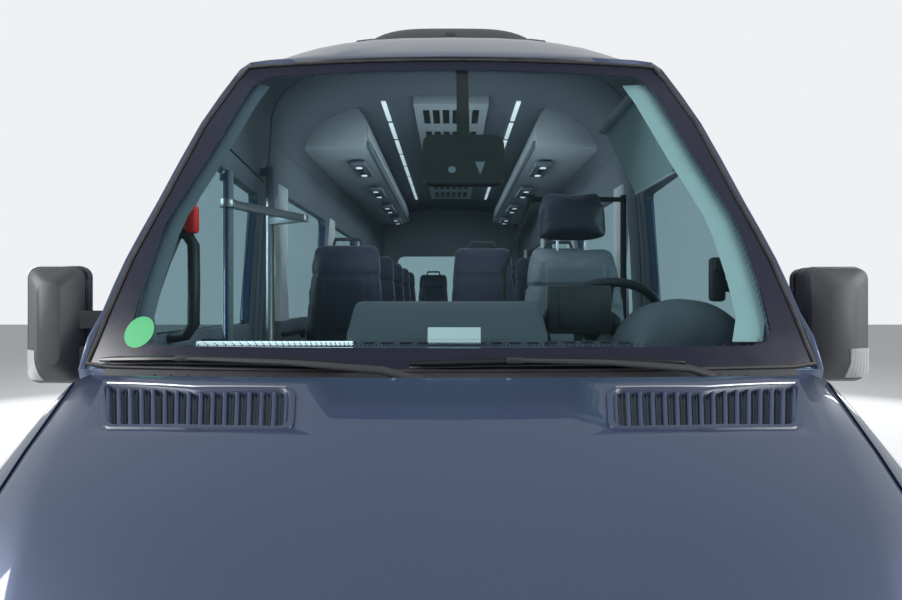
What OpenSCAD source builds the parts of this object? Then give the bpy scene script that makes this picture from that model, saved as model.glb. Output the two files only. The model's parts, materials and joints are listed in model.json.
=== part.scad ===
// Passenger minibus on a van base with a raised roof and a swinging entry door.
// Front faces -Y, the driver's side is +X, +Z is up, origin on the ground under the middle.

/* [Body] */
// Length over the bumpers
body_l = 6945; // [6900:5:7000]
// Width of the body at the waist
body_w = 1993; // [1960:1:2030]
// Width of the body at the sill
sill_w = 1900; // [1860:2:1940]
// Width of the body at the cantrail
cant_w = 1860; // [1820:2:1900]
// Height of the sill's lower edge
sill_z = 330; // [300:5:350]
// Height of the waist, where the body is widest
waist_z = 1050; // [1000:5:1100]
// Height of the belt line under the windows
belt_z = 1330; // [1310:5:1345]
// Height of the cantrail, where the roof starts to curve
cant_z = 2300; // [2280:5:2330]
// Height of the roof's crown
roof_z = 2750; // [2720:5:2790]
// Thickness of the side walls and the roof
wall_t = 45; // [35:1:55]
// Place of the pillar behind the front doors
b_pillar_y = -1100; // [-1110:1:-1090]
// Length of the rear wall's corner part, with the bumper
rear_corner_l = 222.5; // [200:0.5:250]

/* [Windows] */
// Lower edge of the side windows
window_z = 1400; // [1380:5:1450]
// Height of the side windows
window_h = 680; // [600:5:700]
// Length of one side window
window_l = 1130; // [1000:5:1150]
// Distance from one side window to the next
window_pitch = 1240; // [1230:5:1260]
// Front edge of the first side window
window_y = -960; // [-980:5:-940]
// Corner radius of the windows
window_r = 80; // [50:5:110]
// Thickness of the window glass
glass_t = 6; // [4:0.5:8]
// Depth of the glass behind the outer skin
glass_set = 8; // [5:1:12]

/* [Cab] */
// Thickness of the cab's frame and of the front doors
cab_t = 40; // [35:1:45]
// Front edge of the front doors
door_front_y = -2190; // [-2200:1:-2180]
// Rear edge of the front doors
door_rear_y = -1160; // [-1165:1:-1150]
// Lower edge of the front doors
door_sill_z = 440; // [430:5:460]
// Top edge of the front doors
door_top_z = 2080; // [2050:5:2100]
// Gap round the doors and flaps
shut_gap = 8; // [6:0.5:9]
// Height of the cabin floor
floor_z = 700; // [690:1:710]
// Thickness of the floor
floor_t = 50; // [40:1:60]

/* [Wheels] */
// Distance between the axles
wheelbase = 4325; // [4300:5:4350]
// Place of the front axle
front_axle_y = -2468.5; // [-2480:0.5:-2460]
// Distance between the front wheels
front_track = 1710; // [1690:2:1720]
// Outer diameter of a tyre
tyre_d = 714; // [700:2:726]
// Width of a tyre
tyre_w = 205; // [195:1:210]
// Diameter of a rim's bead seat
rim_d = 406; // [400:1:412]
// Place of a twin pair's middle from the centre line
twin_x = 742; // [735:1:745]
// Distance between the two tyres of a twin pair
twin_pitch = 250; // [240:1:255]
// Radius of the hub bore
hub_r = 40; // [36:0.5:44]

/* [Front] */
// Rear edge of the hood on the centre line
hood_rear_y = -2580; // [-2590:1:-2570]
// Thickness of the hood and fender panels
panel_t = 14; // [10:1:16]
// Height of the front bumper's top
bumper_z = 600; // [580:5:620]

/* [Seats] */
// Height of a seat cushion's top above the floor
seat_h = 430; // [400:5:460]
// Width of one seat
seat_w = 440; // [400:5:450]
// Height of a seat back above the floor
seat_back_h = 1150; // [1050:5:1180]
// Thickness of a cushion
cushion_t = 110; // [90:5:130]
// Distance from one row of seats to the next
row_pitch = 760; // [740:5:765]

/* [Entry door mechanism] */
// Distance of the door column in from the cantrail
column_inset = 85; // [80:1:95]
// Place of the door column along the body
column_y = -1235; // [-1240:1:-1225]
// Reach of the door arms
arm_reach = 480; // [470:1:490]
// Reach of the arms' elbow into the cabin
arm_elbow_x = 186; // [170:2:195]
// Place of the arms' elbow ahead of the column
arm_elbow_y = 107; // [95:1:115]
// Width of the door arms
arm_w = 32; // [26:1:36]
// Diameter of the column and of the leaf tube
column_d = 38; // [32:1:42]

/* [Hidden] */
fit = 0.3;
run_fit = 0.1;
$fn = 48;
nose_y0 = -3472.5;
tail_y0 = nose_y0 + body_l;
rear_split_y = tail_y0 - rear_corner_l;
half_w = body_w / 2;
floor_x = sill_w / 2 - 50;
column_x = column_inset - cant_w / 2;
mirror_x = half_w + 216.5;
wheel_z = tyre_d / 2;
rear_axle_y = front_axle_y + wheelbase;
window_count = floor((rear_split_y - window_y) / window_pitch);

// Vectors, normals and offsets of a grid of points
function unit(v) = v / max(norm(v), 0.001);
function span(a, b, t) = a + (b - a) * t;
function normal_at(g, r, c) = unit(cross(
    g[min(r + 1, len(g) - 1)][c] - g[max(r - 1, 0)][c],
    g[r][min(c + 1, len(g[0]) - 1)] - g[r][max(c - 1, 0)]));
function shifted(g, d) = [for (r = [0:len(g) - 1]) [for (c = [0:len(g[0]) - 1])
    g[r][c] + normal_at(g, r, c) * d]];
function flat(rows) = [for (row = rows) for (p = row) p];
function between(t, i, u) = let (a = t[max(i - 1, 0)], b = t[i], c = t[i + 1], d = t[min(i + 2, len(t) - 1)])
    (2 * b + (c - a) * u + (2 * a - 5 * b + 4 * c - d) * u * u + (3 * b - a - 3 * c + d) * u * u * u) / 2;
function smooth(t, n) = concat([for (i = [0:len(t) - 2]) for (k = [0:n - 1]) between(t, i, k / n)],
    [t[len(t) - 1]]);
function mirrored_rows(rows) = concat(
    [for (r = [0:len(rows) - 1]) [for (p = rows[r]) [-p[0], p[1], p[2]]]],
    [for (r = [len(rows) - 2:-1:0]) rows[r]]);

// A sheet of even thickness behind a grid of points on its outer face
module sheet(outer, t) {
    inner = shifted(outer, -t);
    m = len(outer);
    n = len(outer[0]);
    k = m * n;
    function o(r, c) = r * n + c;
    function i(r, c) = k + r * n + c;
    skins = [for (r = [0:m - 2]) for (c = [0:n - 2]) each [
        [o(r, c), o(r, c + 1), o(r + 1, c + 1)], [o(r, c), o(r + 1, c + 1), o(r + 1, c)],
        [i(r, c), i(r + 1, c + 1), i(r, c + 1)], [i(r, c), i(r + 1, c), i(r + 1, c + 1)]]];
    ends = [for (r = [0:m - 2]) each [
        [o(r, 0), o(r + 1, 0), i(r + 1, 0)], [o(r, 0), i(r + 1, 0), i(r, 0)],
        [o(r, n - 1), i(r, n - 1), i(r + 1, n - 1)], [o(r, n - 1), i(r + 1, n - 1), o(r + 1, n - 1)]]];
    sides = [for (c = [0:n - 2]) each [
        [o(0, c + 1), o(0, c), i(0, c)], [o(0, c + 1), i(0, c), i(0, c + 1)],
        [o(m - 1, c), o(m - 1, c + 1), i(m - 1, c + 1)], [o(m - 1, c), i(m - 1, c + 1), i(m - 1, c)]]];
    polyhedron(concat(flat(outer), flat(inner)), concat(skins, ends, sides));
}

// A solid through rings of points that run anticlockwise as seen from the front
module loft(rings) {
    m = len(rings);
    n = len(rings[0]);
    skins = [for (r = [0:m - 2]) for (c = [0:n - 1]) each [
        [r * n + c, r * n + (c + 1) % n, (r + 1) * n + (c + 1) % n],
        [r * n + c, (r + 1) * n + (c + 1) % n, (r + 1) * n + c]]];
    caps = [[for (c = [n - 1:-1:0]) c], [for (c = [0:n - 1]) (m - 1) * n + c]];
    polyhedron(flat(rings), concat(skins, caps));
}

// Prisms along the three axes, each from an outline in the other two
module along_y(y0, y1) { translate([0, y1, 0]) rotate([90, 0, 0]) linear_extrude(y1 - y0) children(); }
module along_x(x0, x1) { translate([x0, 0, 0]) rotate([90, 0, 90]) linear_extrude(x1 - x0) children(); }
module both_sides() { children(); mirror([1, 0, 0]) children(); }
module block(low, high) { translate(low) cube(high - low); }
module rod_x(x0, x1, y, z, r) { translate([x0, y, z]) rotate([0, 90, 0]) cylinder(h = x1 - x0, r = r); }
module rod_y(y0, y1, x, z, r) { translate([x, y1, z]) rotate([90, 0, 0]) cylinder(h = y1 - y0, r = r); }
module rod_z(z0, z1, x, y, r) { translate([x, y, z0]) cylinder(h = z1 - z0, r = r); }

// A rectangle with round corners, exact arcs
module round_rect(low, high, r) {
    translate([low[0] + r, low[1]]) square([high[0] - low[0] - 2 * r, high[1] - low[1]]);
    translate([low[0], low[1] + r]) square([high[0] - low[0], high[1] - low[1] - 2 * r]);
    for (x = [low[0] + r, high[0] - r]) for (y = [low[1] + r, high[1] - r])
        translate([x, y]) circle(r);
}

// Body section, half outline from the sill to the crown: [half width, height]
roof_steps = 10;
function roof_arc(w, z0, z1, a) = [w * pow(cos(a), 0.72), z0 + (z1 - z0) * pow(sin(a), 0.72)];
wall_line = [[sill_w / 2, sill_z], [sill_w / 2 + 22, 600], [half_w, waist_z], [half_w - 8, belt_z],
    [span(half_w - 8, cant_w / 2, 0.5) + 6, span(belt_z, cant_z, 0.5)], [cant_w / 2, cant_z]];
roof_line = [for (i = [0:roof_steps]) roof_arc(cant_w / 2, cant_z, roof_z, 90 * i / roof_steps)];
function inward(line, d) = [for (i = [0:len(line) - 1]) let (
    e = line[min(i + 1, len(line) - 1)] - line[max(i - 1, 0)], n = [e[1], -e[0]] / norm(e))
    line[i] - n * d];
function wall_x(z) = lookup(z, [for (p = wall_line) [p[1], p[0]]]);

half_line = concat(wall_line, [for (i = [1:roof_steps]) roof_line[i]]);
section = concat(half_line, [for (i = [len(half_line) - 2:-1:0]) [-half_line[i][0], half_line[i][1]]]);
cant_i = len(wall_line) - 1;
last_i = len(section) - 1;

// The band of the section from point a to point b, between two depths behind the skin
module band(a, b, d0, d1) {
    outer = inward(section, d0);
    inner = inward(section, d1);
    polygon(concat([for (i = [a:b]) outer[i]], [for (i = [b:-1:a]) inner[i]]));
}
module cabin_space(d) { polygon(inward(section, wall_t + d)); }

// Cab surface: rows from the sill to the crown, [height, front edge, half width there]
cab_front = smooth([[sill_z, -2290, sill_w / 2 - 25], [600, -2290, sill_w / 2 - 2], [waist_z, -2290, half_w - 24.5],
    [belt_z, -2372, half_w - 28.5], [1480, -2290, 957], [1629, -2206, 943], [1818, -2108, 900],
    [2102, -1959, 837], [cant_z, -1860, 762]], 2);
crown_front = smooth([[cant_z, -1860, 762], [2352, -1850, 712], [2350, -1884, 560], [2344, -1912, 400],
    [2340, -1928, 200], [2338, -1934, 0]], 2);
wall_rows = len(cab_front);
cab_edge = concat(cab_front, [for (i = [1:roof_steps]) crown_front[i]]);
cab_rear = concat([for (row = cab_front) [wall_x(row[0]), row[0]]],
    [for (i = [1:roof_steps]) roof_arc(cant_w / 2, cant_z, roof_z, 90 * i / roof_steps)]);
cab_steps = [0, 0.1, 0.22, 0.36, 0.52, 0.7, 0.86, 1];
function cab_point(k, t) = let (rise = k >= wall_rows ? 1 - pow(1 - t, 1.45) : t)
    [span(cab_edge[k][2], cab_rear[k][0], rise), span(cab_edge[k][1], b_pillar_y - fit, t),
     span(cab_edge[k][0], cab_rear[k][1], rise)];
cab_half = [for (k = [0:len(cab_edge) - 1]) [for (t = cab_steps) cab_point(k, t)]];
cab_grid = mirrored_rows(cab_half);

// Windscreen surface between the cab's front edges, [height, edge place, half width]
screen_inset = 16;
screen_rows = [[1335, -2369, 967], [1480, -2290, 957], [1629, -2206, 943],
    [1818, -2108, 900], [2102, -1959, 837], [2275, -1872, 770], [2330, -1868, 728]];
screen_bow = 100;
screen_steps = [for (i = [-6:6]) i / 6];
function screen_point(row, u, more) = let (w = row[2] - screen_inset + more)
    [u * w, row[1] - 4 - screen_bow * pow(w / 930, 2) * (1 - u * u), row[0]];
function screen_net(rows, more) = [for (row = rows) [for (u = screen_steps) screen_point(row, -u, more)]];
screen_grid = screen_net(smooth(screen_rows, 2), 0);
screen_low = [[1274, -2391, 915]];
last_row = screen_rows[len(screen_rows) - 1];
pocket_rows = concat([screen_rows[0] - [3, 1.5, 0]], [for (i = [1:len(screen_rows) - 2]) screen_rows[i]],
    [last_row + [3, 1.5, 0]]);
screen_opening = [[845, 1390], [862, 1560], [857, 1743], [779, 1967], [692, 2256], [650, 2288], [0, 2298]];

// Outline of a front door's opening, [along, up], cut by the wheel arch
function door_outline(d) = [[door_front_y + d, 700], [door_front_y + d, 1400],
    [-1905 + d * 1.1, 2010 - d], [-1850 + d, door_top_z - d], [door_rear_y - d, door_top_z - d],
    [door_rear_y - d, door_sill_z + d], [-2020, door_sill_z + d]];
arch_r = wheel_z + 75;
module door_shape(d) {
    difference() {
        polygon(door_outline(d));
        translate([front_axle_y, wheel_z]) circle(arch_r + 22 + d);
    }
}
function door_window(d) = [[-2120 + d, 1400 + d], [-1870 + d, 1960 - d], [-1830 + d, 2000 - d],
    [-1250 - d, 2000 - d], [-1230 - d, 1980 - d], [-1230 - d, 1400 + d]];

module cab_shell() { sheet(cab_grid, cab_t); }
cab_wall = [for (k = [wall_rows - 1:-1:0]) cab_half[k]];
module cab_side(d, t) { sheet(shifted(cab_wall, -d), t); }
// Half width of the cab's skin at a height and a place along the body
function cab_x(z, y) = let (y0 = lookup(z, [for (q = cab_front) [q[0], q[1]]]))
    span(lookup(z, [for (q = cab_front) [q[0], q[2]]]), wall_x(z), (y - y0) / (b_pillar_y - y0));

// Running gear
module tyre(x) {
    bulge = 14;
    rotate([0, 90, 0]) translate([0, 0, x - tyre_w / 2]) rotate_extrude()
        polygon([[rim_d / 2, 22], [rim_d / 2 + 20, 8], [270, 0], [325, bulge], [tyre_d / 2 - 6, 24],
            [tyre_d / 2, 40], [tyre_d / 2, tyre_w - 40], [tyre_d / 2 - 6, tyre_w - 24],
            [325, tyre_w - bulge], [270, tyre_w], [rim_d / 2 + 20, tyre_w - 8], [rim_d / 2, tyre_w - 22]]);
}

// A steel wheel: barrel, dished disc with hand holes, hub bore and nut circle
module rim(x, dish) {
    w = tyre_w - 44;
    seat_r = rim_d / 2 - fit;
    difference() {
        rotate([0, 90, 0]) translate([0, 0, x - w / 2]) rotate_extrude()
            polygon([[seat_r, 0], [seat_r, w], [seat_r - 9, w], [seat_r - 22, w - 30],
                [seat_r - 22, w / 2 + dish + 12], [130, w / 2 + dish + 24], [100, w / 2 + dish + 12],
                [hub_r, w / 2 + dish + 12], [hub_r, w / 2 + dish], [100, w / 2 + dish],
                [130, w / 2 + dish + 12], [seat_r - 30, w / 2 + dish - 4], [seat_r - 22, 30], [seat_r - 9, 0]]);
        for (a = [0:36:324]) rotate([a, 0, 0]) translate([x - w, 0, 154]) rotate([0, 90, 0])
            cylinder(h = 2 * w, r = 17);
    }
}
module front_wheel_at(side) { translate([0, front_axle_y, wheel_z]) scale([side, 1, 1]) children(); }

tow = [330, 235];
tow_r = 12;
support_y = -3300;
jack_y = -600;
jack_t = 10;
module underframe() {
    color("dimgray") {
        both_sides() {
            block([395, support_y, 480], [465, rear_split_y + 50, 620]);
            block([400, jack_y - 50, 480 - jack_t], [460, jack_y + 50, 480]);
            for (y = [-900, 300, 1350, rear_split_y - 850])
                block([400, y, 620], [460, y + 70, floor_z - floor_t - fit]);
        }
        for (y = [support_y, -1440, -900, 300, 1350, rear_split_y - 850, rear_split_y - 20])
            block([-395 + fit, y, 500], [395 - fit, y + 70, 600]);
        both_sides() for (y = [-1130, -300, 900, rear_split_y - 550])
            block([465 + fit, y, 520], [floor_x - 30, y + 60, 600]);
        both_sides() block([465 + fit, support_y, 480], [560, support_y + 50, 800]);
        block([-560, support_y, 740], [560, support_y + 50, 800]);
        both_sides() block([520, support_y, 740], [580, lamp_back_y + 40, 790]);
        both_sides() block([560, lamp_back_y + fit, 740], [850, lamp_back_y + 40, 790]);
        both_sides() block([465 + fit, support_y, 480], [780, support_y + 40, 560]);
        difference() {
            union() {
                rod_y(support_y - 60, support_y + 70, tow[0], tow[1], tow_r + 8);
                block([tow[0] - tow_r, support_y + 10, tow[1]], [tow[0] + tow_r, support_y + 60, 500 - fit]);
            }
            rod_y(support_y - 61, support_y + 71, tow[0], tow[1], tow_r);
        }
    }
}

well_x = -520;
well_y = -2010;
well_end = -1180;
tread_z = [430, 560];
tread_t = 20;
wheelhouse_t = 16;
cowl_top = 1262;
slab_x = 455;
cab_slab_x = 515;
firewall_y = [-2350, -2310];
module arch_cut() {
    difference() {
        children();
        both_sides() rod_x(480, 1000, rear_axle_y, wheel_z, arch_r);
        both_sides() rod_x(540, 1000, front_axle_y, wheel_z, arch_r);
    }
}
module front_wheelhouse() intersection() {
    rod_x(524, 900, front_axle_y, wheel_z, arch_r + wheelhouse_t);
    block([500, firewall_y[1] + fit, 560], [900, -1900, 900]);
}
module floor_pan() {
    color("slategray") {
        block([-slab_x, b_pillar_y, floor_z - floor_t], [slab_x, rear_split_y - fit, floor_z]);
        both_sides() arch_cut() {
            block([slab_x + fit, b_pillar_y, floor_z - floor_t], [floor_x, rear_split_y - fit, floor_z]);
            intersection() {
                rod_x(470, 926, rear_axle_y, wheel_z, arch_r + wheelhouse_t);
                block([460, 1200, floor_z - floor_t], [930, 2600, 900]);
            }
        }
        block([well_x, firewall_y[1] + fit, floor_z - floor_t], [cab_slab_x, b_pillar_y - fit, floor_z]);
        arch_cut() {
            block([cab_slab_x + fit, firewall_y[1] + fit, floor_z - floor_t],
                [880, b_pillar_y - fit, floor_z]);
            front_wheelhouse();
        }
        arch_cut() {
            block([-880, firewall_y[1] + fit, floor_z - floor_t], [well_x - fit, well_y, floor_z]);
            mirror([1, 0, 0]) front_wheelhouse();
        }
        block([-880, well_end, floor_z - floor_t], [well_x - fit, b_pillar_y - fit, floor_z]);
        block([-890, well_end, tread_z[0] - tread_t], [well_x - fit, well_end + tread_t, floor_z]);
        block([well_x - tread_t, well_y + fit, tread_z[0] - tread_t],
            [well_x - fit, well_end - fit, floor_z]);
        block([-890, well_y + fit, tread_z[0] - tread_t],
            [well_x - tread_t - fit, well_end - fit, tread_z[0]]);
        block([-720, well_y + fit, tread_z[1] - tread_t],
            [well_x - tread_t - fit, well_end - fit, tread_z[1]]);
        difference() {
            arch_cut() {
                block([-870, firewall_y[0], floor_z - floor_t], [870, firewall_y[1], cowl_top]);
                translate([0, 0, 1240]) linear_extrude(22) polygon([[880, -2340], [880, -2430], [700, -2490],
                    [400, -2530], [0, -2550], [-400, -2530], [-700, -2490], [-880, -2430], [-880, -2340]]);
                both_sides() {
                    sheet(wing_rail, 16);
                    block([860, -2440, 1240], [940, -2415, cowl_top]);
                    block([918, -2480, 1240], [940, -2415, 1300]);
                }
            }
            both_sides() sheet(shifted(fender_grid, 30), 30 + panel_t + rail_gap);
        }
        both_sides() {
            rod_x(hood_hinge_x - 30, hood_hinge_x + 30, hood_pin[0], hood_pin[1], 5);
            rod_x(hood_hinge_x - 30, hood_hinge_x, hood_pin[0], hood_pin[1], 10);
            block([hood_hinge_x - 30, hood_pin[0] - 8, cowl_top - 4],
                [hood_hinge_x, hood_pin[0] + 8, hood_pin[1]]);
        }
    }
}

module powertrain_block() {
    color("darkslategray") {
        block([-330, -3130, 420], [330, -2370, 1020]);
        block([-170, -2370, 380], [170, -1500, 640]);
        both_sides() block([330, -2820, 500], [395 - fit, -2700, 570]);
    }
}

module fuel_tank() {
    color("black") along_y(-980, 120) round_rect([485, 330], [855, 520 - fit], 40);
}

pipe_r = 30;
module exhaust() {
    color("silver") {
        rod_y(300, 1150, -700, 440 - fit, 80);
        rod_y(1150, 1300, -700, 440, pipe_r);
        rod_y(-1100 - pipe_r, 300, -700, 440, pipe_r);
        rod_x(-700 + pipe_r + fit, -260 - pipe_r - fit, -1100, 440, pipe_r);
        rod_y(-2370 + fit, -1100 + pipe_r, -260, 440, pipe_r);
    }
}

kingpin_x = 760;
module front_axle() {
    color("dimgray") {
        block([-395, front_axle_y - 120, 250], [395, front_axle_y + 90, 400]);
        both_sides() block([385, front_axle_y - 110, 215], [465, front_axle_y + 110, 480 - fit]);
        both_sides() {
            for (z = [215, 454]) difference() {
                hull() {
                    rod_z(z, z + 26, kingpin_x, front_axle_y, 38);
                    block([400, front_axle_y - 100, z], [440, front_axle_y + 100, z + 26]);
                }
                rod_z(z - 1, z + 27, kingpin_x, front_axle_y, 16 + run_fit);
            }
        }
    }
}

module knuckle() {
    rod_z(216, 484, kingpin_x, front_axle_y, 16);
    rod_z(241 + fit, 454 - fit, kingpin_x, front_axle_y, 34);
    rod_x(kingpin_x, 908, front_axle_y, wheel_z, hub_r - run_fit);
    rod_x(kingpin_x + 20, 842, front_axle_y, wheel_z, 62);
    block([kingpin_x - 14, front_axle_y, 300], [kingpin_x + 14, front_axle_y + 150, 330]);
}
module knuckle_left() { color("gray") knuckle(); }
module knuckle_right() { color("gray") mirror([1, 0, 0]) knuckle(); }

module rear_axle() {
    color("dimgray") {
        rod_x(-900, 900, rear_axle_y, wheel_z, hub_r - run_fit);
        rod_x(-520, 520, rear_axle_y, wheel_z, 55);
        translate([0, rear_axle_y, wheel_z]) rotate([0, 90, 0]) rotate_extrude()
            polygon([[0, -140], [70, -140], [150, -70], [150, 70], [70, 140], [0, 140]]);
        rod_y(-1500 + fit, rear_axle_y - 130, 0, 400, 35);
    }
}

module leaf_springs() {
    reach = 640;
    color("dimgray") both_sides() {
        along_x(400, 460) polygon(concat(
            [for (i = [-8:8]) [rear_axle_y + reach * i / 8, 250 + 190 * pow(i / 8, 2)]],
            [for (i = [8:-1:-8]) [rear_axle_y + reach * i / 8, 302 + 160 * pow(i / 8, 2)]]));
        for (y = [rear_axle_y - reach - 10, rear_axle_y + reach - 50])
            block([400, y, 462], [460, y + 60, 480]);
    }
}

module tyre_front_left() { color("#1d1d1f") front_wheel_at(1) tyre(front_track / 2); }
module tyre_front_right() { color("#1d1d1f") front_wheel_at(1) tyre(-front_track / 2); }
module tyres_rear(side) {
    translate([0, rear_axle_y, wheel_z]) for (s = [-1, 1]) tyre(side * twin_x + s * twin_pitch / 2);
}
module tyres_rear_left() { color("#1d1d1f") tyres_rear(1); }
module tyres_rear_right() { color("#1d1d1f") tyres_rear(-1); }
module rim_front_left() { color("silver") translate([0, front_axle_y, wheel_z]) rim(front_track / 2, 20); }
module rim_front_right() {
    color("silver") mirror([1, 0, 0]) translate([0, front_axle_y, wheel_z]) rim(front_track / 2, 20);
}
module rims_rear() {
    translate([0, rear_axle_y, wheel_z]) {
        rim(twin_x + twin_pitch / 2, -30);
        rim(twin_x - twin_pitch / 2, 30);
        difference() {
            rod_x(twin_x - twin_pitch / 2 + 42, twin_x + twin_pitch / 2 - 30, 0, 0, 95);
            rod_x(twin_x - twin_pitch, twin_x + twin_pitch, 0, 0, hub_r);
        }
    }
}
module rims_rear_left() { color("silver") rims_rear(); }
module rims_rear_right() { color("silver") mirror([1, 0, 0]) rims_rear(); }

// Body shells
module window_cuts(d) {
    for (i = [0:window_count - 1]) translate([window_y + i * window_pitch, 0])
        round_rect([d, window_z + d], [window_l - d, window_z + window_h - d], window_r - d);
}
module side_wall() {
    difference() {
        along_y(b_pillar_y, rear_split_y - fit) band(0, cant_i, 0, wall_t);
        along_x(800, 1100) window_cuts(0);
        rod_x(800, 1100, rear_axle_y, wheel_z, arch_r);
    }
}
module side_wall_left() { color("#4e5668") side_wall(); }
module side_wall_right() { color("#4e5668") mirror([1, 0, 0]) side_wall(); }

module roof_shell() {
    color("#4e5668") along_y(b_pillar_y, rear_split_y - fit) band(cant_i, last_i - cant_i, 0, wall_t);
}

module cab_frame() {
    color("#4e5668") {
        difference() {
            union() {
                cab_shell();
                sheet(shifted(screen_net(smooth(concat(screen_low, screen_rows), 2), 0), -glass_t - fit), 26);
            }
            both_sides() along_x(600, 1100) door_shape(0);
            both_sides() rod_x(600, 1100, front_axle_y, wheel_z, arch_r + 22);
            sheet(shifted(screen_net(smooth(pocket_rows, 2), 1.5), 40), 40 + glass_t + fit);
            along_y(-2700, -1700) polygon(concat(screen_opening,
                [for (i = [len(screen_opening) - 2:-1:0]) [-screen_opening[i][0], screen_opening[i][1]]]));
            block([-1100, b_pillar_y - fit, 0], [1100, b_pillar_y + 100, 3000]);
        }
        for (z = hinge_levels) {
            rod_z(z - 30, z + 40, hinge_x, hinge_y, 6);
            rod_z(z - 30, z, hinge_x, hinge_y, 12);
            block([940, hinge_y - 40, z - 30], [hinge_x, hinge_y - 6, z]);
        }
        difference() {
            block([-cab_x(column_top, column_y) + cab_t - 8, column_y - 20, column_top - 38],
                [column_x, column_y + 20, column_top - 10]);
            rod_z(column_top - 50, column_top, column_x, column_y, column_d / 2 + run_fit);
        }
    }
}

rear_rings = [[0, 0], [110, 8], [165, 45], [190, 95]];
function rear_ring(y, inset, deep) = let (
    ring = inward(section, inset + deep))
    [for (p = ring) [p[0], y, p[1]]];
module rear_window(d) {
    round_rect([-700 + d, window_z + 20 + d], [700 - d, window_z + window_h - d], 90 - d);
}
flap_low = [-560, 760];
flap_high = [560, 1290];
module rear_wall() {
    color("#4e5668") difference() {
        loft([for (r = rear_rings) rear_ring(rear_split_y + r[0], r[1], 0)]);
        loft([for (r = [[-1, wall_t], [110, wall_t + 6], [145, wall_t + 20]])
            rear_ring(rear_split_y + r[0], r[1], 0)]);
        along_y(rear_split_y - 50, tail_y0 + 30) rear_window(0);
        along_y(rear_split_y - 50, tail_y0 + 30) round_rect(flap_low, flap_high, 50);
    }
    color("#4e5668") for (x = flap_hinges) {
        rod_x(x - 40, x + 40, flap_pin[0], flap_pin[1], 5);
        rod_x(x - 40, x - fit, flap_pin[0], flap_pin[1], 10);
        block([x - 40, rear_y - 10, flap_pin[1] - 4], [x - fit, rear_y + 12, flap_pin[1] + 30]);
    }
}
rear_y = rear_split_y + 190;

flap_pin = [rear_y + 12, flap_high[1] + 6];
flap_hinges = [-380, 340];
module luggage_flap() {
    color("#4e5668") {
        for (x = flap_hinges) difference() {
            union() {
                rod_x(x, x + 40 - fit, flap_pin[0], flap_pin[1], 10);
                block([x, rear_y - 5, flap_high[1] - 60], [x + 40 - fit, rear_y + 10, flap_high[1] - 6]);
                block([x, rear_y + 2, flap_high[1] - 40], [x + 40 - fit, rear_y + 18, flap_pin[1]]);
            }
            rod_x(x - 1, x + 41, flap_pin[0], flap_pin[1], 5 + run_fit);
        }
        along_y(rear_y - 40, rear_y) round_rect(flap_low + [shut_gap, shut_gap],
            flap_high - [shut_gap, shut_gap], 42);
    }
}

// Hood surface: [place, height on the centre line, crease half width, fall to the crease, flank beyond it]
hood_stations = smooth([[hood_rear_y, 1337, 868, 9, 40], [-2880, 1206, 727, 20, 95],
    [-3060, 1110, 619, 25, 110], [-3220, 1008, 560, 45, 100], [-3345, 896, 520, 80, 70]], 3);
hood_front = len(hood_stations) - 1;
hood_steps = [0, 0.15, 0.3, 0.45, 0.6, 0.75, 0.88, 0.96, 1, 1.2, 1.5, 1.8, 2];
hood_sweep = 110;
function hood_back(s) = (s[0] - hood_stations[hood_front][0]) / (hood_rear_y - hood_stations[hood_front][0]);
function hood_point(s, u) = let (c = min(u, 1), f = max(u - 1, 0))
    [c * s[2] + f * s[4], s[0] + hood_sweep * hood_back(s) * pow(c, 2),
     s[1] - s[3] * pow(c, 2.5) - s[4] * 0.42 * pow(f, 1.4)];
hood_half = [for (u = [len(hood_steps) - 1:-1:0]) [for (i = [hood_front:-1:0])
    hood_point(hood_stations[i], hood_steps[u])]];
hood_grid = mirrored_rows(hood_half);

// Fender surface: stations along the fender, [rear first: inner edge, half width at the waist]
fender_gap = 6;
// Fender stations: [place, set in from the half width, fall of the shoulder, hood station beside it]
fender_stations = [for (q = [[0, 30.5, 9, 0], [-2459, 16.5, 28, 0], [-2525, 13, 31, 1], [-2590, 10.5, 34, 2],
    [-2652, 10.5, 36, 3], [-2714, 11.5, 38, 4], [-2787, 13.5, 39, 5], [-2860, 16.5, 40, 6],
    [-3015, 34.5, 42, 7], [-3130, 66.5, 42, 8], [-3203, 100.5, 42, 9]])
    [q[0], half_w - q[1], q[2], q[3]]];
fender_last = len(fender_stations) - 1;
function fender_inner(i) = i == 0 ? [928, 0, 1318] : hood_point(hood_stations[fender_stations[i][3]], 2)
    + [fender_gap, 0, 0];
function cab_front_y(z) = lookup(z, [for (q = cab_front) [q[0], q[1]]]);
function fender_xz(i, r) = let (a = fender_inner(i), w = fender_stations[i][1], top = a[2],
    fall = fender_stations[i][2])
    [[a[0], top], [span(a[0], w, 0.45), top - fall], [span(a[0], w, 0.8), top - 2 * fall],
     [w - 4, top - 3.2 * fall], [w, min(waist_z, top - 190)], [w - 10, 790], [w - 22, 600], [w - 34, 440]][r];
fender_lean = [0, 0.2, 0.35, 0.5, 1, 1, 1, 1];
function fender_row(i, r) = let (q = fender_xz(i, r), y = i == 0 ? cab_front_y(q[1]) - 2 * shut_gap
    : span(fender_inner(i)[1], fender_stations[i][0], fender_lean[r])) [q[0], y, q[1]];
fender_grid = [for (i = [fender_last:-1:0]) [for (r = [7:-1:0]) fender_row(i, r)]];
rail_gap = 0.5;
rail_grid = shifted(fender_grid, -panel_t - rail_gap - fit);
wing_rail = [for (i = [0:fender_last - 1]) [span(rail_grid[i][6], rail_grid[i][7], 0.1),
    span(rail_grid[i][6], rail_grid[i][7], 0.8)]];
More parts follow.
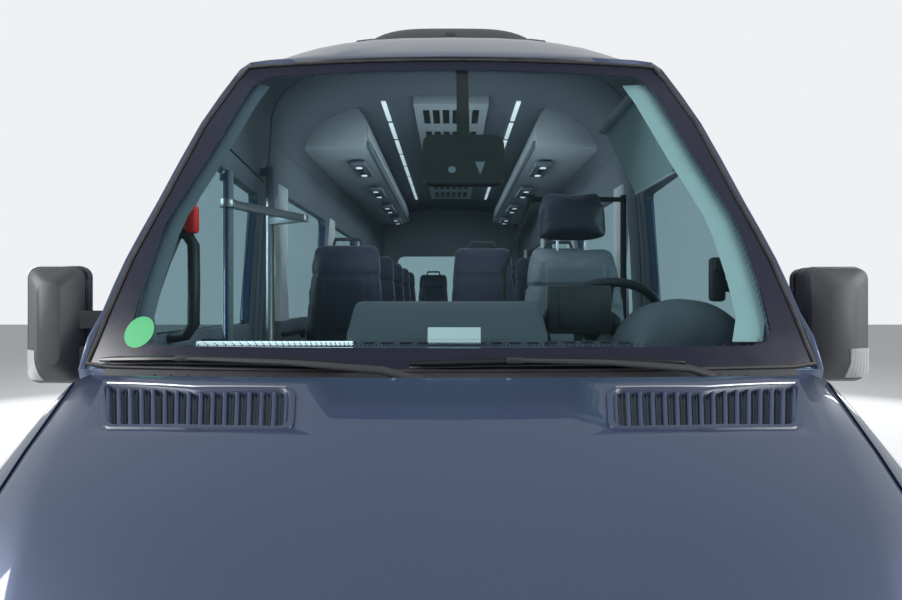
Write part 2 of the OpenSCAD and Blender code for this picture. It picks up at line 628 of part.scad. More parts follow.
module fenders() {
    color("#4e5668") both_sides() difference() {
        sheet(fender_grid, panel_t);
        rod_x(700, 1100, front_axle_y, wheel_z, arch_r);
        block([700, -3300, 400], [1100, -2800, bumper_z + fender_gap]);
        translate([0, 0, 700]) linear_extrude(800) polygon(concat([[0, -2300], [0, -3500]],
            [for (i = [hood_front:-1:0]) let (q = hood_point(hood_stations[i], 2)) [q[0] + fender_gap - 0.1, q[1]]],
            [[918, -2300]]));
    }
}

// Nose: the front panel leans back with height and sweeps back to the sides
function nose_y(x, z) = nose_y0 + 40 + 190 * pow(abs(x) / 890, 3) + 0.3 * max(0, z - 620);
nose_grid = [for (z = [600:50:950]) [for (x = [600:-100:-600]) [x, nose_y(x, z), z]]];
lamp_back_y = -3207;

// Bumper plan from the wheel arch to the middle, and its levels: [height, set back from the plan]
bumper_low = 290;
bumper_back_y = -2945;
bumper_x = half_w - 18.5;
bumper_half = smooth([[978, bumper_back_y], [972, -3090], [930, -3260], [845, -3378], [700, -3436], [450, -3464],
    [0, nose_y0]], 2);
bumper_levels = [[bumper_low, 55], [315, 18], [360, 0], [520, 0], [575, 10], [bumper_z, 38]];
function bumper_point(p, d) = [p[0] * (bumper_x - d) / 978,
    bumper_back_y + (p[1] - bumper_back_y) * (nose_y0 - bumper_back_y + d) / (nose_y0 - bumper_back_y)];
function bumper_ring(z, d) = let (half = [for (p = bumper_half) bumper_point(p, d)], n = len(half))
    concat([for (i = [0:n - 1]) [half[i][0], half[i][1], z]],
    [for (i = [n - 2:-1:0]) [-half[i][0], half[i][1], z]]);
intake_z = [345, 380, 415];
fog_lamp = [700, 410, 46];
module front_bumper() {
    color("#3a3d42") {
        difference() {
            loft([for (q = bumper_levels) bumper_ring(q[0], q[1])]);
            translate([0, 2, 0]) loft([for (q = [[bumper_low - 1, 60], [bumper_z + 1, 60]]) bumper_ring(q[0], q[1])]);
            for (z = intake_z) along_y(-3500, -3300) round_rect([-420, z], [420, z + 24], 8);
            both_sides() rod_y(-3500, -3300, fog_lamp[0], fog_lamp[1], fog_lamp[2]);
        }
        both_sides() block([600, -3410, 480], [640, support_y - fit, 560]);
    }
}

bumper_rear = [[half_w - 11.5, rear_split_y + 12], [half_w - 31.5, rear_split_y + 110],
    [half_w - 116.5, rear_split_y + 190], [half_w - 296.5, tail_y0]];
module rear_bumper() {
    color("#3a3d42") difference() {
        translate([0, 0, 380]) linear_extrude(240) polygon(concat(bumper_rear,
            [for (i = [len(bumper_rear) - 1:-1:0]) [-bumper_rear[i][0], bumper_rear[i][1]]]));
        loft([for (r = concat([[-10, -fit]], [for (q = rear_rings) [q[0] + fit, q[1] - fit]]))
            rear_ring(rear_split_y + r[0], r[1], 0)]);
    }
}

grille_edge = [[-592, 606], [592, 606], [592, 760], [520, 796], [400, 834], [200, 868], [0, 876],
    [-200, 868], [-400, 834], [-520, 796], [-592, 760]];
grille_open = [[-540, 650], [540, 650], [540, 734], [470, 772], [380, 798], [200, 828], [0, 836],
    [-200, 828], [-380, 798], [-470, 772], [-540, 734]];
module grille() {
    color("black") {
        difference() {
            intersection() {
                sheet(nose_grid, 26);
                along_y(-3600, -3200) polygon(grille_edge);
            }
            along_y(-3600, -3200) polygon(grille_open);
        }
        intersection() {
            sheet(shifted(nose_grid, -4), 20);
            along_y(-3600, -3200) intersection() {
                polygon(grille_edge);
                union() {
                    for (z = [664:34:834]) translate([-560, z]) square([1120, 13]);
                    for (x = [-360:180:360]) translate([x - 4, 640]) square([8, 210]);
                }
            }
        }
        both_sides() block([500, nose_y(520, 690) + 22, 612], [545, support_y - fit, 700]);
    }
}

// Headlamp outline seen from the front
lamp_outline = [[606, 650], [838, 662], [850, 760], [846, 862], [770, 908], [690, 900], [612, 776]];
lamp_centre = [750, 780];
function lamp_ring(share, d, back) = [for (p = lamp_outline) let (q = lamp_centre + (p - lamp_centre) * share)
    [q[0], back ? lamp_back_y : nose_y(q[0], q[1]) + d, q[1]]];
module lamps() {
    color("white") {
        both_sides() {
            loft([lamp_ring(0.93, 0, false), lamp_ring(1, 14, false), lamp_ring(1, 0, true)]);
            rod_y(-3425, -3400, fog_lamp[0], fog_lamp[1], fog_lamp[2] - fit);
            along_y(rear_y + fit, rear_y + 14) round_rect([790, 900], [880, 1330], 24);
        }
    }
}

module windscreen() { color("#7f9a94") sheet(screen_grid, glass_t); }

module body_windows() {
    color("#3c4a4e") {
        both_sides() intersection() {
            along_y(b_pillar_y, rear_split_y) band(0, cant_i, glass_set, glass_set + glass_t);
            along_x(800, 1100) window_cuts(fit);
        }
        along_y(rear_y - glass_set - glass_t, rear_y - glass_set)
            rear_window(fit);
    }
}

// Wiper blades: [pivot, one end, other end] across the screen
wiper_table = [[-75, -900, -270], [650, -100, 575]];
wiper_z = 1345;
function screen_y(x, z) = let (w = lookup(z, [for (r = screen_rows) [r[0], r[2]]]) - screen_inset,
    e = lookup(z, [for (r = screen_rows) [r[0], r[1]]]))
    e - 4 - screen_bow * pow(w / 930, 2) * (1 - pow(x / w, 2));
module wipers() {
    color("black") for (b = wiper_table) {
        xs = [for (i = [0:6]) span(b[1], b[2], i / 6)];
        translate([0, 0, wiper_z]) linear_extrude(14) polygon(concat(
            [for (x = xs) [x, screen_y(x, wiper_z) - 1.5]],
            [for (i = [6:-1:0]) [xs[i], screen_y(xs[i], wiper_z) - 14]]));
        y = screen_y(b[0], screen_rows[0][0]) - 45;
        rod_z(cowl_top, wiper_z - 20, b[0], y, 13);
        hull() {
            rod_z(wiper_z - 34, wiper_z - 22, b[0], y, 10);
            rod_z(wiper_z, wiper_z + 8, b[0] - 330, screen_y(b[0] - 330, wiper_z) - 12, 6);
        }
    }
}

// Roof unit: [distance from its edge, height above the crown] at the ends and at the sides
unit_y = [-900, 1100];
unit_x = 550;
unit_edge = [[0, -60], [0, 40], [45, 150], [110, 190]];
fan_r = 190;
fans = [-350, 150, 650];
module roof_ac_unit() {
    function line(a, b) = concat([for (q = unit_edge) [a + q[0], roof_z + q[1]]],
        [for (i = [len(unit_edge) - 1:-1:0]) [b - unit_edge[i][0], roof_z + unit_edge[i][1]]]);
    color("#2f3133") {
        difference() {
            intersection() {
                along_x(-unit_x, unit_x) polygon(line(unit_y[0], unit_y[1]));
                along_y(unit_y[0], unit_y[1]) polygon(line(-unit_x, unit_x));
            }
            along_y(-1000, 1200) polygon(inward(section, -fit));
            for (y = fans) rod_z(roof_z + 160, roof_z + 191, 0, y, fan_r);
        }
        for (y = fans) {
            rod_z(roof_z + 150, roof_z + 182, 0, y, 60);
            for (a = [0:60:300]) translate([0, y, roof_z + 160]) rotate(a) block([50, -8, -1], [fan_r + 5, 8, 20]);
        }
    }
}

module luggage_racks() {
    color("lightgray") {
        intersection() {
            along_y(-500, rear_split_y - 550) {
                polygon([[510, 2430], [950, 2400], [950, 2430], [540, 2460], [540, 2500], [510, 2500]]);
                mirror([1, 0]) polygon([[510, 2430], [950, 2400], [950, 2430], [540, 2460], [540, 2500],
                    [510, 2500]]);
            }
            along_y(-600, rear_split_y - 450) cabin_space(fit);
        }
        intersection() {
            along_y(-600, rear_split_y - 850) translate([-220, roof_z - 100]) square([440, 100]);
            along_y(-700, rear_split_y - 750) cabin_space(fit);
        }
    }
}

module dashboard() {
    color("#3b3f45") {
        difference() {
            union() {
                along_x(-780, 780) polygon([[-2310 + fit, 1235], [-2280, 1330], [-2240, 1375], [-2080, 1385],
                    [-1960, 1330], [-1970, 1180], [-2080, 1000], [-2200, 810], [-2310 + fit, 810]]);
                along_x(500, 860) polygon([[-2250, 1375], [-2220, 1510], [-2050, 1500], [-1990, 1340]]);
                along_x(-305, 283) polygon([[-2240, 1370], [-2060, 1510], [-1980, 1490], [-1965, 1330]]);
                at_steering() translate([0, 0, -260]) cylinder(h = 180, r = 36);
            }
            at_steering() translate([0, 0, -240]) cylinder(h = 200, r = column_r + run_fit);
        }
    }
}

wheel_c = [530, -1860, 1420];
wheel_tilt = -48;
wheel_r = 215;
column_r = 18;
module at_steering() { translate(wheel_c) rotate([wheel_tilt, 0, 0]) children(); }
module steering_wheel() {
    color("#26282b") at_steering() {
        rotate_extrude() translate([wheel_r, 0]) circle(14);
        cylinder(h = 40, r = 70, center = true);
        for (a = [0, 120, 240]) rotate(a + 30) block([60, -14, -8], [wheel_r - 5, 14, 8]);
        translate([0, 0, -238]) cylinder(h = 238, r = column_r);
    }
}

// A seat: side profile met by its front outline, [place behind the back's foot, height above the floor]
function seat_profile(top) = let (low = seat_h - cushion_t) [[-430, low], [-460, low + 40], [-452, seat_h - 15],
    [-425, seat_h], [-110, seat_h - 14], [-48, seat_h + 12], [22, top - 330], [38, top - 130], [72, top - 10],
    [110, top], [148, top - 40], [140, top - 320], [85, low + 20], [50, low]];
function seat_front(w, top, neck) = let (half = [[w / 2 - 20, seat_h - cushion_t - 5], [w / 2, seat_h - cushion_t + 30],
    [w / 2, seat_h + 40], [w / 2 - 18, seat_h + 120], [w / 2 - 10, top - 300], [w / 2 - 45, top - 190],
    [neck, top - 150], [neck - 8, top - 40], [neck - 50, top + 1]])
    concat(half, [for (i = [len(half) - 1:-1:0]) [-half[i][0], half[i][1]]]);
module seat_at(x, y, w, top, neck) {
    translate([x, y, floor_z]) intersection() {
        along_x(-w / 2, w / 2) polygon(seat_profile(top));
        along_y(-470, 160) polygon(seat_front(w, top, neck));
    }
}
driver_y = -1480;
driver_back_h = 1060;
headrest_h = 190;
module driver_seat() {
    color("#7d8085") {
        seat_at(wheel_c[0], driver_y, 500, driver_back_h, 215);
        block([wheel_c[0] - 130, driver_y - 370, floor_z],
            [wheel_c[0] + 130, driver_y + 30, floor_z + seat_h - cushion_t]);
        for (dx = [-62, 62]) rod_z(floor_z + driver_back_h - 60, floor_z + driver_back_h + 60,
            wheel_c[0] + dx, driver_y + 105, 8);
        translate([wheel_c[0], 0, floor_z + driver_back_h + 40]) intersection() {
            along_x(-150, 150) polygon([[driver_y + 60, 20], [driver_y + 50, 100], [driver_y + 72, headrest_h - 30],
                [driver_y + 100, headrest_h], [driver_y + 150, headrest_h - 25], [driver_y + 155, 30],
                [driver_y + 130, 0], [driver_y + 80, 0]]);
            along_y(driver_y, driver_y + 200) round_rect([-150, 0], [150, headrest_h], 45);
        }
    }
}

// Passenger seats: [place across, place of the back's foot, width]
seat_edge = half_w - wall_t - 74.5;
single_w = 480;
single_x = 37 + single_w / 2 - seat_edge;
double_x = seat_edge - 12 - seat_w;
row_count = floor((rear_split_y + 150) / row_pitch);
seats = concat(
    [for (i = [0:row_count]) [single_x, -730 + i * row_pitch, single_w]],
    [for (i = [0:row_count - 1]) for (s = [-1, 1]) [double_x + s * (seat_w / 2 + 12), -560 + i * row_pitch, seat_w]],
    [for (i = [-1.5:1.5]) [i * seat_w, rear_split_y - 290, seat_w - 10]]);
module passenger_seats() {
    color("#2c3350") for (s = seats) seat_at(s[0], s[1], s[2], seat_back_h, s[2] / 2 - 60);
}
module seat_frames() {
    color("dimgray") difference() {
        for (s = seats) for (dx = [-150, 150]) for (dy = [-380, -60])
            rod_z(floor_z, floor_z + seat_h - cushion_t, s[0] + dx, s[1] + dy, 14);
        both_sides() rod_x(460, 950, rear_axle_y, wheel_z, arch_r + wheelhouse_t + fit);
    }
}

// Rails: a grab rail on the pillar behind the entry, and a guard behind the driver
rail_r = 14;
grab_rail = [-895, -1060, 1100, 1900];
guard_y = -1120;
guard_x = [260, 390, 880];
guard_z = [1000, 1657, 2000];
module handrails() {
    color("#d8b020") {
        rod_z(grab_rail[2], grab_rail[3], grab_rail[0], grab_rail[1], rail_r);
        intersection() {
            for (z = [grab_rail[2] + 40, grab_rail[3] - 40]) rod_x(-1000, grab_rail[0], grab_rail[1], z, rail_r - 2);
            along_y(grab_rail[1] - 50, grab_rail[1] + 50) cabin_space(fit);
        }
        rod_z(floor_z, guard_z[1], guard_x[0], guard_y, rail_r);
        rod_z(floor_z, guard_z[2] + 20, guard_x[2] - 40, guard_y, rail_r);
        rod_x(guard_x[1], guard_x[2] - 40, guard_y, guard_z[2], rail_r - 2);
        rod_x(guard_x[0], guard_x[2] - 40, guard_y, guard_z[0], rail_r - 2);
        translate([guard_x[0], guard_y, guard_z[1]]) {
            rotate([0, atan2(guard_x[1] - guard_x[0], guard_z[2] - guard_z[1]), 0])
                cylinder(h = norm([guard_x[1] - guard_x[0], guard_z[2] - guard_z[1]]), r = rail_r - 3);
            cylinder(h = 36, r = rail_r + 5, center = true);
        }
        translate([guard_x[1], guard_y, guard_z[2]]) cylinder(h = 40, r = rail_r + 5, center = true);
    }
}

// Entry door: a column that turns, arms that bulge inward, and a leaf that stays parallel
arm_levels = [980, 1860];
column_top = 2130;
leaf_pin_y = column_y - arm_reach;
module bar(a, b, w) {
    d = b - a;
    translate(a) rotate(atan2(d[1], d[0])) translate([0, -w / 2]) square([norm(d), w]);
}
module door_arm(z) {
    column = [column_x, column_y];
    elbow = column + [arm_elbow_x, -arm_elbow_y];
    translate([0, 0, z]) linear_extrude(30) {
        bar(column, elbow, arm_w);
        bar(elbow, [column_x, leaf_pin_y], arm_w);
        translate(elbow) circle(arm_w / 2 + 5);
    }
}
module door_column() {
    color("silver") {
        difference() {
            union() {
                rod_z(tread_z[0] + fit, column_top, column_x, column_y, column_d / 2);
                for (z = arm_levels) {
                    door_arm(z);
                    rod_z(z, z + 30, column_x, leaf_pin_y, column_d / 2 + 12);
                }
            }
            for (z = arm_levels) rod_z(z - 1, z + 31, column_x, leaf_pin_y, column_d / 2 + run_fit);
        }
    }
}
module entry_door() {
    color("#4e5668") {
        mirror([1, 0, 0]) door_handle();
        difference() {
            intersection() {
                mirror([1, 0, 0]) cab_side(0, cab_t);
                along_x(-1100, -700) door_shape(shut_gap);
            }
            along_x(-1100, -700) polygon(door_window(0));
        }
        rod_z(700, 2000, column_x, leaf_pin_y, column_d / 2);
        for (z = [720, 1340, 1960])
            block([-cab_x(z, leaf_pin_y) + cab_t - 10, leaf_pin_y - 20, z], [column_x, leaf_pin_y + 20, z + 24]);
    }
}
module entry_door_glass() {
    color("#3c4a4e") intersection() {
        mirror([1, 0, 0]) cab_side(glass_set, glass_t);
        along_x(-1100, -700) polygon(door_window(fit));
    }
}

hinge_x = 990;
hinge_y = -2186;
hinge_levels = [820, 1280];
handle_y = [-1330, -1200];
handle_z = [1150, 1180];
module door_handle() {
    x = cab_x(handle_z[0], handle_y[0]);
    block([x + 12, handle_y[0], handle_z[0]], [x + 30, handle_y[1], handle_z[1]]);
    for (y = [handle_y[0], handle_y[1] - 24]) block([x - 6, y, handle_z[0]], [x + 14, y + 24, handle_z[1]]);
}
module driver_door() {
    color("#4e5668") {
        door_handle();
        difference() {
            intersection() {
                cab_side(0, cab_t);
                along_x(700, 1100) door_shape(shut_gap);
            }
            along_x(700, 1100) polygon(door_window(0));
        }
        for (z = hinge_levels) difference() {
            union() {
                rod_z(z + run_fit, z + 40, hinge_x, hinge_y, 12);
                block([950, hinge_y + 6, z + run_fit], [hinge_x, hinge_y + 30, z + 40]);
            }
            rod_z(z - 1, z + 41, hinge_x, hinge_y, 6 + run_fit);
        }
    }
}
module driver_door_glass() {
    color("#3c4a4e") intersection() {
        cab_side(glass_set, glass_t);
        along_x(700, 1100) polygon(door_window(fit));
    }
}

// Mirror shells: [place, inner edge, outer edge, lower edge, upper edge]
shell_left = [[-2238, 1080, 1150, 1330, 1560], [-2212, 1042, 1205, 1282, 1600],
    [-2184, 1036, mirror_x, 1272, 1608], [-2110, 1040, mirror_x - 13, 1275, 1605]];
shell_right = [[-2308, 1062, 1125, 1330, 1560], [-2265, 1040, 1180, 1284, 1598],
    [-2222, 1036, mirror_x, 1272, 1608], [-2207, 1038, mirror_x - 3, 1274, 1606]];
module mirror_housing(shell, y) {
    $fn = 24;
    hull() for (q = shell) along_y(q[0], q[0] + 2) round_rect([q[1], q[3]], [q[2], q[4]], 30);
    difference() {
        for (z = [1330, 1430]) block([945, y, z], [1060, y + 36, z + 50]);
        cab_side(-fit, cab_t + fit);
    }
}
module mirror_left() { color("#33353a") mirror_housing(shell_left, -2168); }
module mirror_right() { color("#33353a") mirror([1, 0, 0]) mirror_housing(shell_right, -2262); }

// Vent outline in plan, from the inner front corner, and the fraction along it of each fin
vent_front = [[305, -2742], [504, -2722], [706, -2688]];
vent_rear = [[815, -2520], [568, -2580], [338, -2610]];
vent_fins = 16;
vent_rim = 9;
vent_steps = [0.3, 0.45, 0.6, 0.75, 0.88, 0.96, 1];
vent_grid = [for (u = vent_steps) [for (i = [2:-1:0]) hood_point(hood_stations[i], u)]];
function softened(p, r) = [for (i = [0:len(p) - 1]) let (a = p[(i + len(p) - 1) % len(p)], b = p[i],
    c = p[(i + 1) % len(p)], u = b + unit(a - b) * r, v = b + unit(c - b) * r)
    for (t = [0, 0.33, 0.67, 1]) span(span(u, b, t), span(b, v, t), t)];
function drawn_in(p, d) = let (m = (p[0] + p[2] + p[3] + p[5]) / 4)
    [for (q = p) [m[0] + (q[0] - m[0]) * (1 - d / 250), m[1] + (q[1] - m[1]) * (1 - d / 90)]];
vent_outline = concat(vent_front, vent_rear);
module vent_shape(d) { polygon(softened(drawn_in(vent_outline, d), 22)); }
function along(line, f) = f < 0.5 ? span(line[0], line[1], 2 * f) : span(line[1], line[2], 2 * f - 1);
vent_back = [vent_rear[2], vent_rear[1], vent_rear[0]];
hood_pin = [-2475, 1300];
hood_hinge_x = 730;
module hood() {
    color("#4e5668") {
        difference() {
            sheet(hood_grid, panel_t);
            both_sides() translate([0, 0, 900]) linear_extrude(600) vent_shape(0);
        }
        both_sides() difference() {
            union() {
                rod_x(hood_hinge_x + fit, hood_hinge_x + 30, hood_pin[0], hood_pin[1], 10);
                block([hood_hinge_x + fit, hood_pin[0] - 50, hood_pin[1] + 2],
                    [hood_hinge_x + 30, hood_pin[0], hood_pin[1] + 10]);
                block([hood_hinge_x + fit, hood_pin[0] - 50, hood_pin[1] + 2],
                    [hood_hinge_x + 30, hood_pin[0] - 36, hood_pin[1] + 12]);
            }
            rod_x(hood_hinge_x - 1, hood_hinge_x + 31, hood_pin[0], hood_pin[1], 5 + run_fit);
        }
    }
}
module hood_vents() {
    color("black") both_sides() intersection() {
        sheet(shifted(vent_grid, -2), 10);
        translate([0, 0, 900]) linear_extrude(600) difference() {
            vent_shape(fit);
            intersection() {
                vent_shape(vent_rim);
                for (i = [0:vent_fins - 1]) let (f = (i + 0.5) / vent_fins)
                    bar(along(vent_front, f), along(vent_back, f), 13);
            }
        }
    }
}

underframe();
floor_pan();
powertrain_block();
fuel_tank();
exhaust();
front_axle();
knuckle_left();
knuckle_right();
rear_axle();
leaf_springs();
tyre_front_left();
tyre_front_right();
tyres_rear_left();
tyres_rear_right();
rim_front_left();
rim_front_right();
rims_rear_left();
rims_rear_right();
side_wall_left();
side_wall_right();
roof_shell();
cab_frame();
rear_wall();
fenders();
front_bumper();
rear_bumper();
grille();
lamps();
windscreen();
body_windows();
wipers();
roof_ac_unit();
luggage_racks();
dashboard();
steering_wheel();
driver_seat();
seat_frames();
passenger_seats();
handrails();
door_column();
entry_door();
entry_door_glass();
driver_door();
driver_door_glass();
mirror_left();
mirror_right();
hood();
hood_vents();
luggage_flap();
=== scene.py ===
import json
import math
import bmesh
import bpy
from mathutils import Matrix, Vector
from mathutils.bvhtree import BVHTree

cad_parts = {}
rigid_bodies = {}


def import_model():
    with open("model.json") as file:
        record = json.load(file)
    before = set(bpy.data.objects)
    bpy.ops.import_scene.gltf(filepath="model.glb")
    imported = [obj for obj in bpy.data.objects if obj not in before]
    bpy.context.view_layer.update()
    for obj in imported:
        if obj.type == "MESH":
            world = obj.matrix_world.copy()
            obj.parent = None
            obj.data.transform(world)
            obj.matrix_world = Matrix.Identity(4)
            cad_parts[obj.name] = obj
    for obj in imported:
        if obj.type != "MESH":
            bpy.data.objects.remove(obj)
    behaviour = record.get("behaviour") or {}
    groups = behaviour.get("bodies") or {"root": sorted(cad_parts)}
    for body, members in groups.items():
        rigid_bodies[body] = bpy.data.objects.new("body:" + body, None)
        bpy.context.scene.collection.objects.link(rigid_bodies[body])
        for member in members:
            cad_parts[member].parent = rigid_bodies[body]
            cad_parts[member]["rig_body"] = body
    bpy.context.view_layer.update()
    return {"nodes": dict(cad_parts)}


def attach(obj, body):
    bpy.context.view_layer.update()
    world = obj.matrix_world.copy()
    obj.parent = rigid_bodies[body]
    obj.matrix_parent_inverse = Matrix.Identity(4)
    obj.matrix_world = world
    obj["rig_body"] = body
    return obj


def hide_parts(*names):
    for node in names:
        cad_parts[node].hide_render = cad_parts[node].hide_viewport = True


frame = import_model()
nodes = frame["nodes"]
print("frame loaded,", len(nodes), "nodes")


# Materials: a wire is a node's output, and maths on wires adds the nodes
class Wire:
    def __init__(self, finish, socket):
        self.finish, self.socket = finish, socket

    def at(self, name):
        return Wire(self.finish, self.socket.node.outputs[name])

    def maths(self, operation, other=0.0, clamp=False):
        return self.finish.node("Math", {"operation": operation, "use_clamp": clamp}, {0: self, 1: other})

    def __add__(self, other):
        return self.maths("ADD", other)

    def __mul__(self, other):
        return self.maths("MULTIPLY", other)

    def __sub__(self, other):
        return self.maths("SUBTRACT", other)

    def __rsub__(self, other):
        return self.finish.node("Math", {"operation": "SUBTRACT"}, {0: other, 1: self})

    def __truediv__(self, other):
        return self.maths("DIVIDE", other)

    def __gt__(self, other):
        return self.maths("GREATER_THAN", other)

    def __lt__(self, other):
        return self.maths("LESS_THAN", other)

    __radd__, __rmul__ = __add__, __mul__


class Finish:
    def __init__(self, name, kind="materials"):
        self.owner = getattr(bpy.data, kind).new(name)
        self.owner.use_nodes = True
        self.tree = self.owner.node_tree
        self.tree.nodes.clear()

    def node(self, kind, settings=None, sockets=None):
        made = self.tree.nodes.new("ShaderNode" + kind)
        for key, value in (settings or {}).items():
            if key == "stops":
                ramp = made.color_ramp
                while len(ramp.elements) < len(value):
                    ramp.elements.new(0.5)
                for element, (place, colour) in zip(ramp.elements, value):
                    element.position, element.color = place, (*colour, 1)
            else:
                setattr(made, key, value)
        for key, value in (sockets or {}).items():
            socket = made.inputs[key]
            if isinstance(value, Wire):
                self.tree.links.new(value.socket, socket)
            elif isinstance(value, tuple) and len(value) == 3 and socket.type == "RGBA":
                socket.default_value = (*value, 1)
            else:
                socket.default_value = value
        return Wire(self, next(o for o in made.outputs if o.enabled))

    def place(self):
        return self.node("TexCoord").at("Object")

    def noise(self, scale, detail=2.0, rough=0.5, vector=None):
        return self.node("TexNoise", None, {"Vector": vector or self.place(), "Scale": scale,
                                            "Detail": detail, "Roughness": rough})

    def blend(self, share, low, high):
        mixed = self.node("Mix", {"data_type": "RGBA"})
        for key, value in ((0, share), (6, low), (7, high)):
            socket = mixed.socket.node.inputs[key]
            if isinstance(value, Wire):
                self.tree.links.new(value.socket, socket)
            else:
                socket.default_value = (*value, 1) if isinstance(value, tuple) else value
        return Wire(self, mixed.socket.node.outputs[2])

    def bump(self, height, strength, distance):
        return self.node("Bump", None, {"Height": height, "Strength": strength, "Distance": distance})

    def shine(self, **sockets):
        named = {key.replace("_", " "): value for key, value in sockets.items()}
        return self.node("BsdfPrincipled", None, named)

    def show(self, shader, end="OutputMaterial"):
        shown = self.tree.nodes.new("ShaderNode" + end)
        self.tree.links.new(shader.socket, shown.inputs["Surface"])
        return self.owner


def tone(red, green, blue):
    # a screen colour from 0 to 255, as the shader wants it
    return tuple(((c / 255 + 0.055) / 1.055) ** 2.4 if c > 10 else c / 255 / 12.92
                 for c in (red, green, blue))


# Metallic paint: fine flake under clear coat, a little dust low down
paintLook = {"colour": tone(52, 66, 94), "light": tone(72, 90, 122), "dust": tone(120, 116, 108),
             "flake": 2600.0, "dustTo": 0.9}


def paintFinish():
    f = Finish("bodyPaint")
    flakes = f.node("TexVoronoi", None, {"Vector": f.place(), "Scale": paintLook["flake"]}).at("Color")
    sparkle = f.node("SeparateColor", None, {"Color": flakes})
    cloud = f.noise(1.7, 3.0)
    height = f.node("SeparateXYZ", None, {"Vector": f.place()}).at("Z")
    dust = (1 - height / paintLook["dustTo"]).maths("MAXIMUM", 0.0) * f.noise(9.0, 5.0) * 0.5
    base = f.blend(sparkle * 0.45 + cloud * 0.18, paintLook["colour"], paintLook["light"])
    base = f.blend(dust, base, paintLook["dust"])
    peel = f.bump(f.noise(180.0, 1.0), 0.03, 0.0004)
    return f.show(f.shine(Base_Color=base, Metallic=0.45, Roughness=dust * 0.4 + cloud * 0.06 + 0.3,
                          Coat_Weight=1.0, Coat_Roughness=0.04, Normal=peel))


def plasticFinish(name, colour, rough=0.5, grain=420.0, depth=0.0003, strength=0.5):
    f = Finish(name)
    patch = f.noise(14.0, 4.0)
    fine = f.noise(grain, 3.0, 0.6)
    base = f.blend(patch * 0.5 + fine * 0.2, colour, tuple(c * 1.35 + 0.004 for c in colour))
    return f.show(f.shine(Base_Color=base, Roughness=patch * 0.12 + (rough - 0.06),
                          Normal=f.bump(fine, strength, depth)))


def metalFinish(name, colour, rough=0.35, grain=120.0):
    f = Finish(name)
    streak = f.noise(grain, 3.0, 0.6, f.node("Mapping", None, {"Vector": f.place(), "Scale": (1, 1, 0.1)}))
    stain = f.noise(11.0, 4.0)
    base = f.blend(stain * 0.6, colour, tuple(c * 0.7 for c in colour))
    dull = streak * 0.15 + stain * 0.1 + (rough - 0.1)
    return f.show(f.shine(Base_Color=base, Metallic=0.9, Roughness=dull, Normal=f.bump(streak, 0.08, 0.0003)))


def glassFinish(name, tint, mirror, body=(0.01, 0.02, 0.02)):
    # clear sheet glass: what is behind shows tinted, with gloss that grows at a slant
    f = Finish(name)
    film = f.noise(3.0, 3.0)
    base = f.blend(film, body, tuple(c * 1.6 for c in body))
    gloss = f.shine(Base_Color=base, Roughness=film * 0.03 + 0.01)
    clear = f.node("BsdfTransparent", None, {"Color": tint})
    slant = f.node("LayerWeight", None, {"Blend": 0.3}).at("Facing")
    share = (slant * slant * slant * 0.55 + mirror).maths("MINIMUM", 1.0)
    return f.show(f.node("MixShader", None, {0: share, 1: clear, 2: gloss}))


def leatherFinish(name, colour, light, rough=0.42, grain=260.0):
    f = Finish(name)
    cell = f.node("TexVoronoi", {"feature": "DISTANCE_TO_EDGE"}, {"Vector": f.place(), "Scale": grain})
    wear = f.noise(5.0, 4.0)
    base = f.blend(wear * 0.7, colour, light)
    crease = f.noise(30.0, 4.0) * 0.6 + (cell * 3.0).maths("MINIMUM", 0.4)
    return f.show(f.shine(Base_Color=base, Roughness=wear * 0.2 + (rough - 0.1), Sheen_Weight=0.1,
                          Normal=f.bump(crease, 0.35, 0.0012)))


def clothFinish(name, colour, light, weave=150.0):
    f = Finish(name)
    spot = f.place()
    across = f.node("TexWave", {"bands_direction": "X"}, {"Vector": spot, "Scale": weave})
    along = f.node("TexWave", {"bands_direction": "Z"}, {"Vector": spot, "Scale": weave})
    fade = f.noise(4.0, 3.0)
    base = f.blend(fade * 0.6 + across * along * 0.3, colour, light)
    return f.show(f.shine(Base_Color=base, Roughness=fade * 0.1 + 0.8, Sheen_Weight=0.3,
                          Normal=f.bump(across * along, 0.3, 0.0004)))


def rubberFinish(name, colour=(0.012, 0.012, 0.013), rough=0.6):
    f = Finish(name)
    dust = f.noise(24.0, 5.0, 0.6)
    base = f.blend(dust * dust, colour, tone(84, 82, 78))
    return f.show(f.shine(Base_Color=base, Roughness=dust * 0.2 + (rough - 0.1),
                          Normal=f.bump(f.noise(500.0, 2.0), 0.2, 0.0003)))


def lampFinish(name, colour, tint, flutes=160.0 / 6):
    # fluted lens: half see-through, more solid at a slant
    f = Finish(name)
    rib = f.node("TexWave", {"bands_direction": "X"}, {"Vector": f.place(), "Scale": flutes})
    base = f.blend(rib, colour, tuple(c * 0.8 for c in colour))
    body = f.shine(Base_Color=base, Roughness=rib * 0.05 + 0.06, Normal=f.bump(rib, 0.3, 0.001))
    clear = f.node("BsdfTransparent", None, {"Color": tint})
    share = f.node("LayerWeight", None, {"Blend": 0.35}).at("Facing") * 0.5 + 0.35
    return f.show(f.node("MixShader", None, {0: share, 1: clear, 2: body}))


def glowFinish(name, colour, strength):
    f = Finish(name)
    lit = f.noise(40.0, 1.0) * 0.1 + 0.95
    return f.show(f.shine(Base_Color=f.blend(lit, colour, (1.0, 1.0, 1.0)), Roughness=lit * 0.3,
                          Emission_Color=f.blend(lit, colour, colour), Emission_Strength=strength))


# Wheels: where the axles stand, and the height of their centres
wheelPlaces = {"front": -2.4685, "rear": 1.8565, "height": 0.357}


